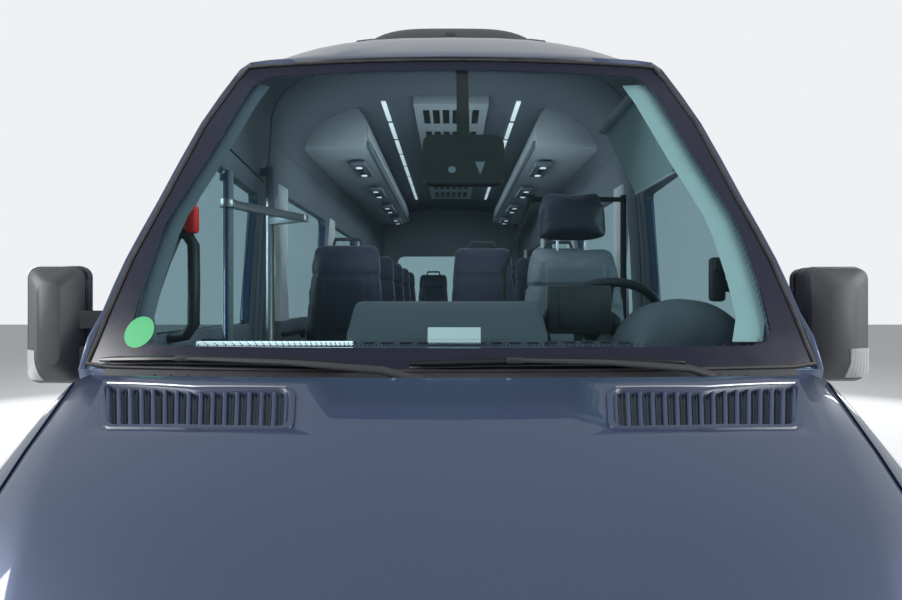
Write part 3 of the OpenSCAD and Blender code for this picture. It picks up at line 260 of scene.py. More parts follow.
def tyreFinish(name, centre):
    # blocks round the tread, rings on the side wall
    f = Finish(name)
    spot = f.node("SeparateXYZ", None, {"Vector": f.place()})
    ahead, up = spot.at("Y") - centre, spot.at("Z") - wheelPlaces["height"]
    ring = (ahead * ahead + up * up).maths("SQRT")
    turn = ahead.maths("ARCTAN2", up)
    zigzag = (turn * 64.0 + (spot.at("X") * 70.0).maths("SINE") * 1.6).maths("SINE")
    blocks = (zigzag * 3.0 + 1.2).maths("ADD", 0.0, True)
    grooves = ((spot.at("X") * 150.0).maths("SINE") * 4.0 + 3.0).maths("ADD", 0.0, True)
    tread = (ring > 0.346) * blocks * grooves
    rings = (ring < 0.33) * (ring * 420.0).maths("SINE") * 0.15
    dust = f.noise(16.0, 5.0, 0.6)
    base = f.blend(dust * dust * 0.9 + (1 - tread) * 0.12, (0.012, 0.012, 0.013), tone(92, 88, 82))
    return f.show(f.shine(Base_Color=base, Roughness=dust * 0.2 + 0.65,
                          Normal=f.bump(tread + rings + f.noise(300.0, 3.0) * 0.05, 0.9, 0.006)))


finishes = {
    "paint": paintFinish(),
    "plastic": plasticFinish("grainedPlastic", tone(44, 46, 50), 0.55),
    "mirrorPlastic": plasticFinish("mirrorPlastic", tone(56, 58, 62), 0.5, 700.0, 0.0005, 0.8),
    "gloss": plasticFinish("glossBlack", (0.008, 0.009, 0.011), 0.16, 200.0, 0.0001, 0.1),
    "frit": plasticFinish("glassBorder", tone(11, 16, 38), 0.2, 300.0, 0.00005, 0.1),
    "rubber": rubberFinish("sealRubber"),
    "tyreFront": tyreFinish("tyreFront", wheelPlaces["front"]),
    "tyreRear": tyreFinish("tyreRear", wheelPlaces["rear"]),
    "rim": metalFinish("wheelSteel", tone(160, 163, 168), 0.4),
    "chassis": plasticFinish("chassisBlack", tone(34, 34, 36), 0.5, 60.0, 0.0008, 0.4),
    "cast": metalFinish("castMetal", tone(96, 94, 92), 0.6, 40.0),
    "steel": metalFinish("brightSteel", tone(176, 178, 182), 0.3),
    "floor": plasticFinish("floorCovering", tone(92, 96, 102), 0.7, 240.0, 0.0006, 0.5),
    "trim": plasticFinish("lightTrim", tone(150, 158, 166), 0.5, 300.0),
    "trimDark": plasticFinish("greyTrim", tone(92, 100, 110), 0.5, 300.0),
    "pillarTrim": plasticFinish("pillarTrim", tone(176, 190, 190), 0.5, 300.0),
    "ventPlastic": plasticFinish("ventPlastic", tone(52, 61, 84), 0.3, 300.0, 0.0002, 0.2),
    "dash": plasticFinish("dashSkin", tone(66, 72, 80), 0.6, 380.0, 0.0006, 0.7),
    "dashDark": plasticFinish("dashDark", tone(36, 39, 44), 0.5, 380.0, 0.0005, 0.6),
    "seatGrey": leatherFinish("greyLeather", tone(88, 96, 106), tone(112, 120, 130)),
    "seatBlue": leatherFinish("blueLeather", tone(24, 28, 42), tone(36, 42, 60)),
    "curtain": clothFinish("curtainCloth", tone(176, 182, 190), tone(206, 210, 216)),
    "blind": clothFinish("blindCloth", tone(120, 146, 150), tone(146, 170, 172)),
    "rail": plasticFinish("railCoat", tone(206, 170, 40), 0.35, 90.0, 0.0002, 0.3),
    "screenGlass": glassFinish("screenGlass", (0.84, 0.93, 0.94), 0.045),
    "sideGlass": glassFinish("sideGlass", (0.62, 0.70, 0.73), 0.07),
    "lens": lampFinish("clearLens", (0.82, 0.84, 0.86), (0.9, 0.92, 0.94)),
    "redLens": lampFinish("redLens", (0.5, 0.015, 0.012), (0.7, 0.05, 0.04)),
    "amberLens": lampFinish("amberLens", (0.75, 0.25, 0.02), (0.9, 0.45, 0.1)),
    "mirrorGlass": metalFinish("mirrorGlass", (0.8, 0.82, 0.84), 0.12, 5.0),
    "chrome": metalFinish("chrome", (0.7, 0.71, 0.73), 0.16, 60.0),
    "green": plasticFinish("greenDisc", tone(34, 160, 92), 0.4, 90.0, 0.0001, 0.1),
    "white": plasticFinish("whiteCard", tone(222, 226, 226), 0.6, 90.0, 0.0001, 0.1),
    "red": plasticFinish("redPlastic", tone(200, 30, 30), 0.4),
    "ledStrip": glowFinish("ledStrip", (0.9, 0.95, 1.0), 0.6),
}
print("materials made")


# Meshes put together from simple forms, with rounded edges
class Shape:
    def __init__(self):
        self.mesh = bmesh.new()

    def take(self, points, faces):
        made = [self.mesh.verts.new(p) for p in points]
        for face in faces:
            try:
                self.mesh.faces.new([made[i] for i in face])
            except ValueError:  # a face that is there already
                pass
        return made

    def soften(self, made, soft, segments):
        edges = list({e for v in made for e in v.link_edges})
        bmesh.ops.bevel(self.mesh, geom=edges, offset=soft, segments=segments, profile=0.5,
                        affect="EDGES", clamp_overlap=True)

    def box(self, low, high, soft=0.0):
        low, high = Vector(low), Vector(high)
        size = high - low
        spot = Matrix.Translation((low + high) / 2) @ Matrix.Diagonal((*size, 1.0))
        made = bmesh.ops.create_cube(self.mesh, size=1.0, matrix=spot)["verts"]
        if soft:
            self.soften(made, min(soft, min(size) * 0.45), 2)

    def tube(self, path, radius, sides=10, caps=True, flat=1.0):
        path = [Vector(p) for p in path]
        rings, last = [], None
        for i, spot in enumerate(path):
            ahead = (path[min(i + 1, len(path) - 1)] - path[max(i - 1, 0)]).normalized()
            side = last or ahead.orthogonal()
            side = (side - ahead * side.dot(ahead)).normalized()
            up = ahead.cross(side)
            last = side
            size = radius[i] if isinstance(radius, (list, tuple)) else radius
            rings.append([spot + side * math.cos(a) * size + up * math.sin(a) * size * flat
                          for a in (2 * math.pi * k / sides for k in range(sides))])
        self.rings(rings, caps)

    def rings(self, rings, caps=True):
        count = len(rings[0])
        points = [p for ring in rings for p in ring]
        faces = []
        for r in range(len(rings) - 1):
            for c in range(count):
                a, b, up = r * count + c, r * count + (c + 1) % count, (r + 1) * count
                faces.append((a, b, up + (c + 1) % count, up + c))
        if caps:
            faces.append(tuple(range(count - 1, -1, -1)))
            faces.append(tuple((len(rings) - 1) * count + c for c in range(count)))
        self.take(points, faces)

    def lathe(self, profile, centre, axis="X", steps=32):
        # profile: [along the axis, radius]
        centre = Vector(centre)
        turn = {"X": lambda s, u, v: Vector((s, u, v)), "Y": lambda s, u, v: Vector((v, s, u)),
                "Z": lambda s, u, v: Vector((u, v, s))}[axis]
        rings = [[centre + turn(s, r * math.cos(a), r * math.sin(a))
                  for a in (2 * math.pi * k / steps for k in range(steps))] for s, r in profile]
        self.rings(rings)

    def prism(self, outline, axis, low, high, soft=0.0, segments=2):
        # outline in the other two axes, in the order XY, YZ or XZ
        put = {"X": lambda s, p: (s, p[0], p[1]), "Y": lambda s, p: (p[0], s, p[1]),
               "Z": lambda s, p: (p[0], p[1], s)}[axis]
        count = len(outline)
        points = [put(s, p) for s in (low, high) for p in outline]
        sides = [(i, (i + 1) % count, count + (i + 1) % count, count + i) for i in range(count)]
        made = self.take(points, sides + [tuple(range(count - 1, -1, -1)), tuple(range(count, 2 * count))])
        if soft:
            self.soften(made, soft, segments)

    def sheet(self, grid, thick=0.0):
        # a grid of points, or with a thickness a closed sheet behind it
        rows, count = len(grid), len(grid[0])
        points = [Vector(p) for row in grid for p in row]
        faces = [(r * count + c, r * count + c + 1, (r + 1) * count + c + 1, (r + 1) * count + c)
                 for r in range(rows - 1) for c in range(count - 1)]
        if thick:
            normals = [gridNormal(grid, r, c) for r in range(rows) for c in range(count)]
            shift = len(points)
            points += [p - n * thick for p, n in zip(points, normals)]
            faces += [tuple(shift + i for i in reversed(face)) for face in faces]
            rim = ([c for c in range(count)] + [r * count + count - 1 for r in range(1, rows)]
                   + [(rows - 1) * count + c for c in range(count - 2, -1, -1)]
                   + [r * count for r in range(rows - 2, 0, -1)])
            faces += [(b, a, shift + a, shift + b) for a, b in zip(rim, rim[1:] + rim[:1])]
        self.take(points, faces)

    def done(self, name, finish, body="body", sharp=40.0):
        bmesh.ops.recalc_face_normals(self.mesh, faces=self.mesh.faces)
        softEdges(self.mesh, sharp)
        data = bpy.data.meshes.new(name)
        self.mesh.to_mesh(data)
        self.mesh.free()
        return placed(name, data, finish, body)


def gridNormal(grid, r, c):
    down = Vector(grid[min(r + 1, len(grid) - 1)][c]) - Vector(grid[max(r - 1, 0)][c])
    right = Vector(grid[r][min(c + 1, len(grid[0]) - 1)]) - Vector(grid[r][max(c - 1, 0)])
    return down.cross(right).normalized()


def softEdges(mesh, sharp):
    for face in mesh.faces:
        face.smooth = True
    for edge in mesh.edges:
        edge.smooth = edge.calc_face_angle(0.0) < math.radians(sharp)


def placed(name, data, finish, body, slot=None):
    if data.materials:
        data.materials[0] = finishes[finish]
    else:
        data.materials.append(finishes[finish])
    piece = bpy.data.objects.new(name, data)
    bpy.context.scene.collection.objects.link(piece)
    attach(piece, body)
    return piece


def bodyOf(node):
    return nodes[node]["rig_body"]


def dress(node, finish, soft=0.002, sharp=35.0, second=None, where=None):
    # a copy of a node with its edges rounded, in place of the plain one
    mesh = bmesh.new()
    mesh.from_mesh(nodes[node].data)
    bmesh.ops.remove_doubles(mesh, verts=mesh.verts, dist=0.00002)
    bmesh.ops.dissolve_limit(mesh, angle_limit=math.radians(0.6), verts=mesh.verts, edges=mesh.edges)
    if soft:
        edges = [e for e in mesh.edges
                 if len(e.link_faces) == 2 and e.calc_face_angle(0.0) > math.radians(sharp)]
        bmesh.ops.bevel(mesh, geom=edges, offset=soft, segments=2, profile=0.5, affect="EDGES",
                        clamp_overlap=True)
    softEdges(mesh, sharp)
    for face in mesh.faces:
        face.material_index = 1 if second and where(face.calc_center_median(), face.normal) else 0
    data = bpy.data.meshes.new(node)
    mesh.to_mesh(data)
    mesh.free()
    piece = placed(node + "_shown", data, finish, bodyOf(node))
    if second:
        data.materials.append(finishes[second])
    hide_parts(node)


def inward(centre, normal):
    # the side of a shell that faces the cabin
    hub = Vector((0, min(max(centre.y, -1.9), 3.0), 1.5))
    return normal.dot(centre - hub) < -0.3 * (centre - hub).length


def cut(node, low, high, lift, name, finish, body):
    # a thin piece that lies on the part of a node inside a box
    mesh = bmesh.new()
    mesh.from_mesh(nodes[node].data)
    for axis in range(3):
        way = Vector([float(k == axis) for k in range(3)])
        for limit, sign in ((low, -1.0), (high, 1.0)):
            parts = mesh.verts[:] + mesh.edges[:] + mesh.faces[:]
            bmesh.ops.bisect_plane(mesh, geom=parts, plane_co=limit, plane_no=way * sign, clear_outer=True)
    bmesh.ops.remove_doubles(mesh, verts=mesh.verts, dist=0.0001)
    mesh.normal_update()
    for vertex in mesh.verts:
        vertex.co += vertex.normal * lift
    rim = [e for e in mesh.edges if e.is_boundary]
    made = bmesh.ops.extrude_edge_only(mesh, edges=rim)["geom"]
    for vertex in made:
        if isinstance(vertex, bmesh.types.BMVert):
            vertex.co -= vertex.normal * lift * 2
    softEdges(mesh, 40)
    data = bpy.data.meshes.new(name)
    mesh.to_mesh(data)
    mesh.free()
    placed(name, data, finish, body)


def wear(node, finish):
    # the node itself stays and gets its finish
    for slot in nodes[node].material_slots:
        slot.material = finishes[finish]


# Camera at the photograph's place
view = {"place": (0.0, -3.80, 1.51), "lens": 21.95, "sensor": 36.0, "near": 0.02}
cameraData = bpy.data.cameras.new("camera")
cameraData.lens, cameraData.sensor_width, cameraData.clip_start = view["lens"], view["sensor"], view["near"]
camera = bpy.data.objects.new("camera", cameraData)
camera.location = view["place"]
camera.rotation_euler = (math.pi / 2, 0, 0)
bpy.context.scene.collection.objects.link(camera)
bpy.context.scene.camera = camera
bpy.context.scene.view_settings.view_transform = "Standard"

# Plain studio: a pale backdrop that lights the bus less than it shows
studio = {"back": (0.86, 0.88, 0.9), "light": 0.55, "floor": tone(214, 216, 218), "floorSize": 60.0}
sky = Finish("studio", "worlds")
rays = sky.node("LightPath")
seen = rays.at("Is Camera Ray").maths("MAXIMUM", rays.at("Is Transmission Ray"))
plain = sky.node("Background", None, {"Color": studio["back"], "Strength": studio["light"]})
pale = sky.node("Background", None, {"Color": studio["back"], "Strength": 1.0})
bpy.context.scene.world = sky.show(sky.node("MixShader", None, {0: seen, 1: plain, 2: pale}), "OutputWorld")

# lamps: [name, place, aimed at, width, height, power, whether paint and glass mirror it]
lamps = [
    ("overhead", (0.0, 0.5, 6.5), (0.0, 0.5, 0.0), 7.0, 9.0, 300.0, False),
    ("leftSoft", (-6.5, -4.0, 3.6), (0.0, -1.0, 1.2), 4.0, 3.0, 420.0, True),
    ("rightSoft", (6.5, -4.5, 3.2), (0.0, -1.0, 1.2), 4.0, 3.0, 320.0, True),
    ("rearSoft", (0.0, 8.5, 4.0), (0.0, 2.0, 1.4), 6.0, 3.0, 240.0, False),
    ("leftEdge", (-6.6, 4.4, 2.7), (0.0, -2.4, 1.2), 2.2, 3.2, 110.0, True),
    ("rightEdge", (6.6, 4.4, 2.7), (0.0, -2.4, 1.2), 2.2, 3.2, 110.0, True),
    ("cabinSoft", (0.0, 0.9, 2.60), (0.0, 0.9, 0.0), 0.5, 3.2, 26.0, False),
    ("cabSoft", (0.0, -1.55, 2.20), (0.0, -1.9, 1.3), 0.9, 0.5, 7.0, False),
    ("rackSoft", (0.0, -1.0, 1.9), (0.0, 1.2, 2.55), 1.2, 0.3, 9.0, False),
]
for name, place, aim, wide, high, power, mirrored in lamps:
    lampData = bpy.data.lights.new(name, "AREA")
    lampData.shape, lampData.size, lampData.size_y, lampData.energy = "RECTANGLE", wide, high, power
    lamp = bpy.data.objects.new(name, lampData)
    lamp.location = place
    lamp.rotation_euler = (Vector(aim) - Vector(place)).to_track_quat("-Z", "Y").to_euler()
    lamp.visible_glossy = mirrored
    lamp.visible_camera = lamp.visible_transmission = False
    bpy.context.scene.collection.objects.link(lamp)


def floorFinish():
    f = Finish("studioFloor")
    patch = f.noise(0.7, 3.0)
    base = f.blend(patch, studio["floor"], tuple(c * 0.97 for c in studio["floor"]))
    return f.show(f.shine(Base_Color=base, Roughness=patch * 0.05 + 0.8))


floorMesh = bpy.data.meshes.new("studioFloor")
half = studio["floorSize"] / 2
floorCorners = [(-half, -half, 0), (half, -half, 0), (half, half, 0), (-half, half, 0)]
floorMesh.from_pydata(floorCorners, [], [(0, 1, 2, 3)])
floorMesh.materials.append(floorFinish())
studioFloor = bpy.data.objects.new("studioFloor", floorMesh)
bpy.context.scene.collection.objects.link(studioFloor)
print("camera, lamps and floor set")


# Surfaces of the frame, met by a ray
skins = {}


def cast(node, start, way):
    if node not in skins:
        mesh = bmesh.new()
        mesh.from_mesh(nodes[node].data)
        mesh.transform(nodes[node].matrix_world)
        skins[node] = BVHTree.FromBMesh(mesh)
        mesh.free()
    return skins[node].ray_cast(Vector(start), Vector(way))[0]


def screenAt(x, z, out=0.0):
    # on the windscreen, or that far out of it towards the front
    spot = cast("windscreen", (x, -4, z), (0, 1, 0)) or cast("windscreen", (x * 0.99, -4, z), (0, 1, 0))
    return (spot or Vector((x, -2.3, z))) + Vector((0, -out, 0))


def sideAt(node, y, z, side, out=0.0):
    spot = cast(node, (side * 3, y, z), (-side, 0, 0))
    return (spot or Vector((side * 0.97, y, z))) + Vector((side * out, 0, 0))


def spline(table, u):
    # a smooth line through rows of numbers, u from 0 to 1
    step = min(max(u, 0.0), 0.9999) * (len(table) - 1)
    i, t = int(step), step - int(step)
    a, b, c, d = (table[min(max(i + k, 0), len(table) - 1)] for k in (-1, 0, 1, 2))
    return [(2 * q + (r - p) * t + (2 * p - 5 * q + 4 * r - s) * t * t
             + (3 * q - p - 3 * r + s) * t ** 3) / 2 for p, q, r, s in zip(a, b, c, d)]


# Hood surface, as in the solids: [place, height, crease half width, fall to the crease]
hoodLook = {"stations": [(-2.580, 1.337, 0.868, 0.009), (-2.880, 1.206, 0.727, 0.020),
                         (-3.060, 1.110, 0.619, 0.025), (-3.220, 1.008, 0.560, 0.045),
                         (-3.345, 0.896, 0.520, 0.080)], "sweep": 0.110, "rows": 40}
hoodRows = [spline(hoodLook["stations"], k / hoodLook["rows"]) for k in range(hoodLook["rows"] + 1)]
hoodRear, _, hoodHalf, _ = hoodLook["stations"][0]
hoodFront = hoodLook["stations"][-1][0]


def hoodHeight(x, y):
    spot = y
    for _ in range(6):  # the stations are swept back towards the crease
        row = min(hoodRows, key=lambda p: abs(p[0] - spot))
        share = min(abs(x) / row[2], 1.2)
        spot = y - hoodLook["sweep"] * (row[0] - hoodFront) / (hoodRear - hoodFront) * share ** 2
    low = max((p for p in hoodRows if p[0] <= spot), key=lambda p: p[0], default=hoodRows[-1])
    high = min((p for p in hoodRows if p[0] > spot), key=lambda p: p[0], default=hoodRows[0])
    part = (spot - low[0]) / max(high[0] - low[0], 1e-6)
    row = [a + (b - a) * part for a, b in zip(low, high)]
    return row[1] - row[3] * min(abs(x) / row[2], 1.0) ** 2.5


def softLoop(points, radius, steps=5):
    # corners of a closed outline rounded by that radius
    loop = []
    for i, corner in enumerate(points):
        corner = Vector(corner)
        before, after = Vector(points[i - 1]) - corner, Vector(points[(i + 1) % len(points)]) - corner
        reach = min(radius, before.length * 0.45, after.length * 0.45)
        start, end = corner + before.normalized() * reach, corner + after.normalized() * reach
        for k in range(steps):
            t = k / (steps - 1)
            loop.append(tuple(start.lerp(corner, t).lerp(corner.lerp(end, t), t)))
    return loop


def polar(loop, centre, count):
    # the points where evenly turned rays from the centre meet a closed outline
    met = []
    for k in range(count):
        way = Vector((math.cos(2 * math.pi * k / count), math.sin(2 * math.pi * k / count)))
        best = 0.0
        for a, b in zip(loop, loop[1:] + loop[:1]):
            p, q = Vector(a) - centre, Vector(b) - Vector(a)
            across = way.cross(q)
            if abs(across) > 1e-9:
                along, share = p.cross(q) / across, p.cross(way) / across
                if along > 0 and -1e-6 <= share <= 1 + 1e-6:
                    best = max(best, along)
        met.append(centre + way * best)
    return met


# Glass border, seal and cowl round the windscreen: half outlines of [x, z]
screenLook = {"edge": [(0.0, 1.337), (0.946, 1.337), (0.941, 1.400), (0.936, 1.480), (0.922, 1.629),
                       (0.879, 1.818), (0.817, 2.102), (0.752, 2.272), (0.708, 2.326), (0.0, 2.326)],
              "clear": [(0.0, 1.392), (0.800, 1.392), (0.846, 1.410), (0.858, 1.560), (0.850, 1.743),
                        (0.772, 1.967), (0.686, 2.252), (0.640, 2.284), (0.0, 2.290)],
              "corner": 0.05, "centre": (0.0, 1.80), "points": 168, "seal": 0.0065,
              "dots": [(0.006, 0.0026), (0.013, 0.0019), (0.020, 0.0012)]}


def mirroredLoop(half):
    return half + [(-x, z) for x, z in reversed(half) if x > 1e-6]


clearHalf = [Vector(p) for p in screenLook["clear"]]
screenCentre, count = Vector(screenLook["centre"]), screenLook["points"]
edgeLoop = polar(mirroredLoop(screenLook["edge"]), screenCentre, count)
clearLoop = polar(softLoop(mirroredLoop(screenLook["clear"]), screenLook["corner"]), screenCentre, count)
frit = Shape()
frit.rings([[screenAt(*outer.lerp(inner, k / 5), 0.0015) for outer, inner in zip(edgeLoop, clearLoop)]
            for k in range(6)], False)
frit.done("glassBorder", "frit")
dots = Shape()
for row, (inset, size) in enumerate(screenLook["dots"]):
    for k in range(count * 2):
        share = (k + 0.5 * (row % 2)) / 2
        a, b = clearLoop[int(share) % count], clearLoop[(int(share) + 1) % count]
        spot = a.lerp(b, share % 1)
        spot = spot + (screenCentre - spot).normalized() * inset
        dots.take([screenAt(spot.x + size * math.cos(q), spot.y + size * math.sin(q), 0.0016)
                   for q in (math.pi / 3 * n for n in range(6))], [tuple(range(6))])
dots.done("glassBorderDots", "frit")
seal = Shape()
sealPath = [screenAt(*(screenCentre + (p - screenCentre) * 0.999), 0.002) for p in edgeLoop]
seal.tube(sealPath + sealPath[:2], screenLook["seal"], 8, False, 0.8)
seal.done("screenSeal", "rubber")

# The cowl dips from the glass to well below the hood's rear edge, which swings into it
cowlLook = {"half": 0.885, "front": -2.570, "hoodEdge": -2.574, "below": 0.046, "top": 1.342, "steps": 24,
            "bend": (0, 0.2, 0.4, 0.6, 0.8, 1), "ribs": 34, "ribsHalf": 0.74, "rib": 0.0028}
cowl, cowlRows = Shape(), []
for k in range(2 * cowlLook["steps"] + 1):
    x = cowlLook["half"] * (k / cowlLook["steps"] - 1)
    sweep = hoodLook["sweep"] * (x / hoodHalf) ** 2
    rear = screenAt(x, cowlLook["top"], 0.003)
    low = hoodHeight(x, cowlLook["hoodEdge"] + sweep) - cowlLook["below"]
    front = Vector((x, cowlLook["front"] + sweep, low))
    cowlRows.append([Vector((x, front.y + (rear.y - front.y) * t, front.z + (rear.z - front.z) * t * t))
                     for t in cowlLook["bend"]])
cowl.sheet(cowlRows, 0.004)
cowl.done("cowlPanel", "plastic")
ribs = Shape()
for k in range(cowlLook["ribs"]):
    x = cowlLook["ribsHalf"] * (2 * k / (cowlLook["ribs"] - 1) - 1)
    row = cowlRows[round((x / cowlLook["half"] + 1) * cowlLook["steps"])]
    ribs.tube([Vector((x, p.y, p.z + 0.002)) for p in row[1:5]], cowlLook["rib"], 6)
ribs.done("cowlRibs", "rubber")

# Things on the glass: green disc, and the pod with its strip, [left, right, low, high]
discLook = {"centre": (-0.822, 1.426), "size": 0.042, "flat": 0.95, "points": 40}
disc = Shape()
x, z = discLook["centre"]
turns = [2 * math.pi * k / discLook["points"] for k in range(discLook["points"])]
disc.take([screenAt(x + discLook["size"] * math.cos(a), z + discLook["size"] * discLook["flat"] * math.sin(a),
                    0.0022) for a in turns], [tuple(range(discLook["points"]))])
disc.done("greenDisc", "green")
podLook = {"pod": (-0.088, 0.165, 1.855, 2.030), "corner": 0.035, "depth": 0.05,
           "strip": (0.018, 0.058, 2.02, 2.292), "stripDepth": 0.012,
           "arrow": ((0.072, 1.93), (0.104, 1.93), (0.088, 1.885)), "eye": (0.003, 1.902), "eyeSize": 0.012}


def corners(left, right, low, high):
    return [(left, low), (right, low), (right, high), (left, high)]


pod, podEyes = Shape(), Shape()
face = [screenAt(x, z, -0.0085) for x, z in softLoop(corners(*podLook["pod"]), podLook["corner"])]
pod.rings([face, [p + Vector((0, podLook["depth"], 0)) for p in face]])
face = [screenAt(x, z, -0.008) for x, z in corners(*podLook["strip"])]
pod.rings([face, [p + Vector((0, podLook["stripDepth"], 0)) for p in face]])
pod.done("sensorPod", "gloss")
podEyes.take([screenAt(x, z, -0.0075) for x, z in podLook["arrow"]], [(0, 1, 2)])
x, z = podLook["eye"]
podEyes.take([screenAt(x + podLook["eyeSize"] * math.cos(a), z + podLook["eyeSize"] * math.sin(a), -0.0075)
              for a in (math.pi / 8 * k for k in range(16))], [tuple(range(16))])
podEyes.done("sensorEyes", "trimDark")
print("windscreen surround built")

# Hood vents: a raised frame, fins across it, a toothed plate below and a bright edge; lines of [x, y]
ventLook = {"front": [(0.305, -2.742), (0.504, -2.722), (0.706, -2.688)],
            "rear": [(0.338, -2.610), (0.568, -2.580), (0.815, -2.520)], "middle": (0.555, -2.630),
            "corner": 0.024, "rim": 0.010, "fins": 16, "finWide": 0.0085, "finDeep": 0.020,
            "teeth": 96, "toothLow": -0.018, "toothHigh": -0.009, "bright": 0.0032}


def alongLine(line, f):
    a, b = (line[0], line[1]) if f < 0.5 else (line[1], line[2])
    return Vector(a).lerp(Vector(b), f * 2 - (f >= 0.5))


def onHood(p, lift, side):
    return Vector((side * p.x, p.y, hoodHeight(p.x, p.y) + lift))


def ventRing(shrink, lift, side):
    middle = Vector(ventLook["middle"])
    loop = [Vector(p) for p in softLoop(ventLook["front"] + ventLook["rear"][::-1], ventLook["corner"])]
    return [onHood(p + (middle - p).normalized() * shrink, lift, side) for p in loop]


# the frame's section: [inwards, lift]; a fin's section: [share of half its width, lift]
rimSteps = [(-0.003, -0.004), (-0.002, 0.0035), (0.002, 0.005), (ventLook["rim"], 0.0045),
            (ventLook["rim"] + 0.003, 0.001), (ventLook["rim"] + 0.003, -0.020)]
finSection = [(-1, -ventLook["finDeep"]), (-1, -0.003), (-0.5, -0.0006), (0.5, -0.0006), (1, -0.003),
              (1, -ventLook["finDeep"])]
for side, sideName in ((1, "Left"), (-1, "Right")):
    rim, fins, teeth, edge = Shape(), Shape(), Shape(), Shape()
    rim.rings([ventRing(shrink, lift, side) for shrink, lift in rimSteps], False)
    rim.done("ventFrame" + sideName, "ventPlastic", "hood_lid")
    for i in range(ventLook["fins"]):
        f = (i + 0.6) / (ventLook["fins"] + 0.2)
        a, b = alongLine(ventLook["front"], f), alongLine(ventLook["rear"], f)
        a, b = a.lerp(b, 0.07), b.lerp(a, 0.07)
        cross = Vector((-(b - a).y, (b - a).x)).normalized() * (ventLook["finWide"] / 2)
        sections = []
        for k in range(7):
            p = a.lerp(b, k / 6)
            top = hoodHeight(p.x, p.y) + 0.0005 + 0.0035 * math.sin(math.pi * k / 6)
            sections.append([Vector((side * (p.x + cross.x * w), p.y + cross.y * w, top + d))
                             for w, d in finSection])
        fins.rings(sections)
    fins.done("ventFins" + sideName, "ventPlastic", "hood_lid", 60)
    count = ventLook["teeth"]
    grid = []
    for j in range(count + 1):
        a, b = alongLine(ventLook["front"], j / count), alongLine(ventLook["rear"], j / count)
        lift = ventLook["toothHigh"] if j % 2 else ventLook["toothLow"]
        grid.append([onHood(a.lerp(b, t), lift, side) for t in (0.03, 0.35, 0.65, 0.97)])
    teeth.sheet(grid)
    teeth.done("ventTeeth" + sideName, "trimDark", "hood_lid", 10)
    edge.tube([onHood(alongLine(ventLook["rear"], 0.04 + 0.92 * k / 14), 0.005, side) for k in range(15)],
              ventLook["bright"], 8)
    edge.done("ventBright" + sideName, "steel", "hood_lid")
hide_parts("hood_vents")
print("hood vents built")

# Wipers: blades with a bright edge on arms of [pivot, outer end of the blade, inner end]
wiperLook = {"arms": [(-0.075, -0.900, -0.270), (0.650, -0.100, 0.575)], "height": 1.352, "bow": 0.006,
             "pivot": 1.322, "stub": [(0, 0.002), (0, 0.017), (0.022, 0.016), (0.028, 0.010), (0.028, 0.0)]}
blades, arms, edges = Shape(), Shape(), Shape()
for pivot, outer, inner in wiperLook["arms"]:
    spots = [screenAt(outer + (inner - outer) * k / 16,
                      wiperLook["height"] + wiperLook["bow"] * math.sin(math.pi * k / 16), 0.010)
             for k in range(17)]
    blades.tube([p + Vector((0, -0.004, 0.004)) for p in spots], [0.005] + [0.0085] * 15 + [0.005], 8)
    edges.tube([p + Vector((0, 0.004, -0.006)) for p in spots], 0.0028, 6)
    base = Vector((pivot, screenAt(pivot, 1.345).y - 0.045, wiperLook["pivot"]))
    hold = spots[6] + Vector((0, -0.012, 0.008))
    arms.tube([base, base.lerp(hold, 0.15) + Vector((0, -0.004, 0.016)),
               base.lerp(hold, 0.55) + Vector((0, -0.006, 0.014)), hold],
              [0.013, 0.011, 0.008, 0.006], 10, True, 0.7)
    arms.lathe(wiperLook["stub"], (pivot, base.y, wiperLook["pivot"] - 0.016), "Z", 20)
    arms.box(hold + Vector((-0.02, -0.006, -0.008)), hold + Vector((0.02, 0.012, 0.006)), 0.003)
blades.done("wiperBlades", "gloss")
edges.done("wiperEdges", "steel")
arms.done("wiperArms", "plastic")
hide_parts("wipers")
print("wipers built")

# Dashboard, in outlines of [y, z]: a rounded body with its binnacle; the hood over the dials is a bump
# in sections of [y, half width, height]
dashForm = {"body": [(-2.310, 1.235), (-2.280, 1.330), (-2.240, 1.375), (-2.080, 1.385), (-1.960, 1.330),
                     (-1.970, 1.180), (-2.080, 1.000), (-2.200, 0.810), (-2.310, 0.810)],
            "binnacle": [(-2.250, 1.340), (-2.190, 1.410), (-2.110, 1.485), (-2.060, 1.510), (-1.990, 1.496),
                         (-1.965, 1.330)],
            "dials": (0.700, 1.330), "dialHood": [(-2.252, 0.120, 0.060), (-2.245, 0.160, 0.110),
                                                  (-2.225, 0.178, 0.160), (-2.180, 0.186, 0.180),
                                                  (-2.100, 0.188, 0.184), (-2.010, 0.184, 0.176),
                                                  (-1.995, 0.170, 0.160)],
            "bodySpan": (-0.780, 0.780), "binnacleSpan": (-0.305, 0.283),
            "column": [(0.530, -1.919, 1.366), (0.530, -2.053, 1.246)]}
dash = Shape()
dash.prism(dashForm["body"], "X", *dashForm["bodySpan"], 0.022, 3)
x, z = dashForm["dials"]
dash.rings([[(x + wide * math.cos(a), y, z + tall * max(math.sin(a), -0.2))
             for a in (2 * math.pi * k / 40 for k in range(40))] for y, wide, tall in dashForm["dialHood"]])
dash.prism(dashForm["binnacle"], "X", *dashForm["binnacleSpan"], 0.026, 4)
dash.tube(dashForm["column"], 0.036, 20)
dash.done("dashTop", "dash", "body", 50)
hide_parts("dashboard")

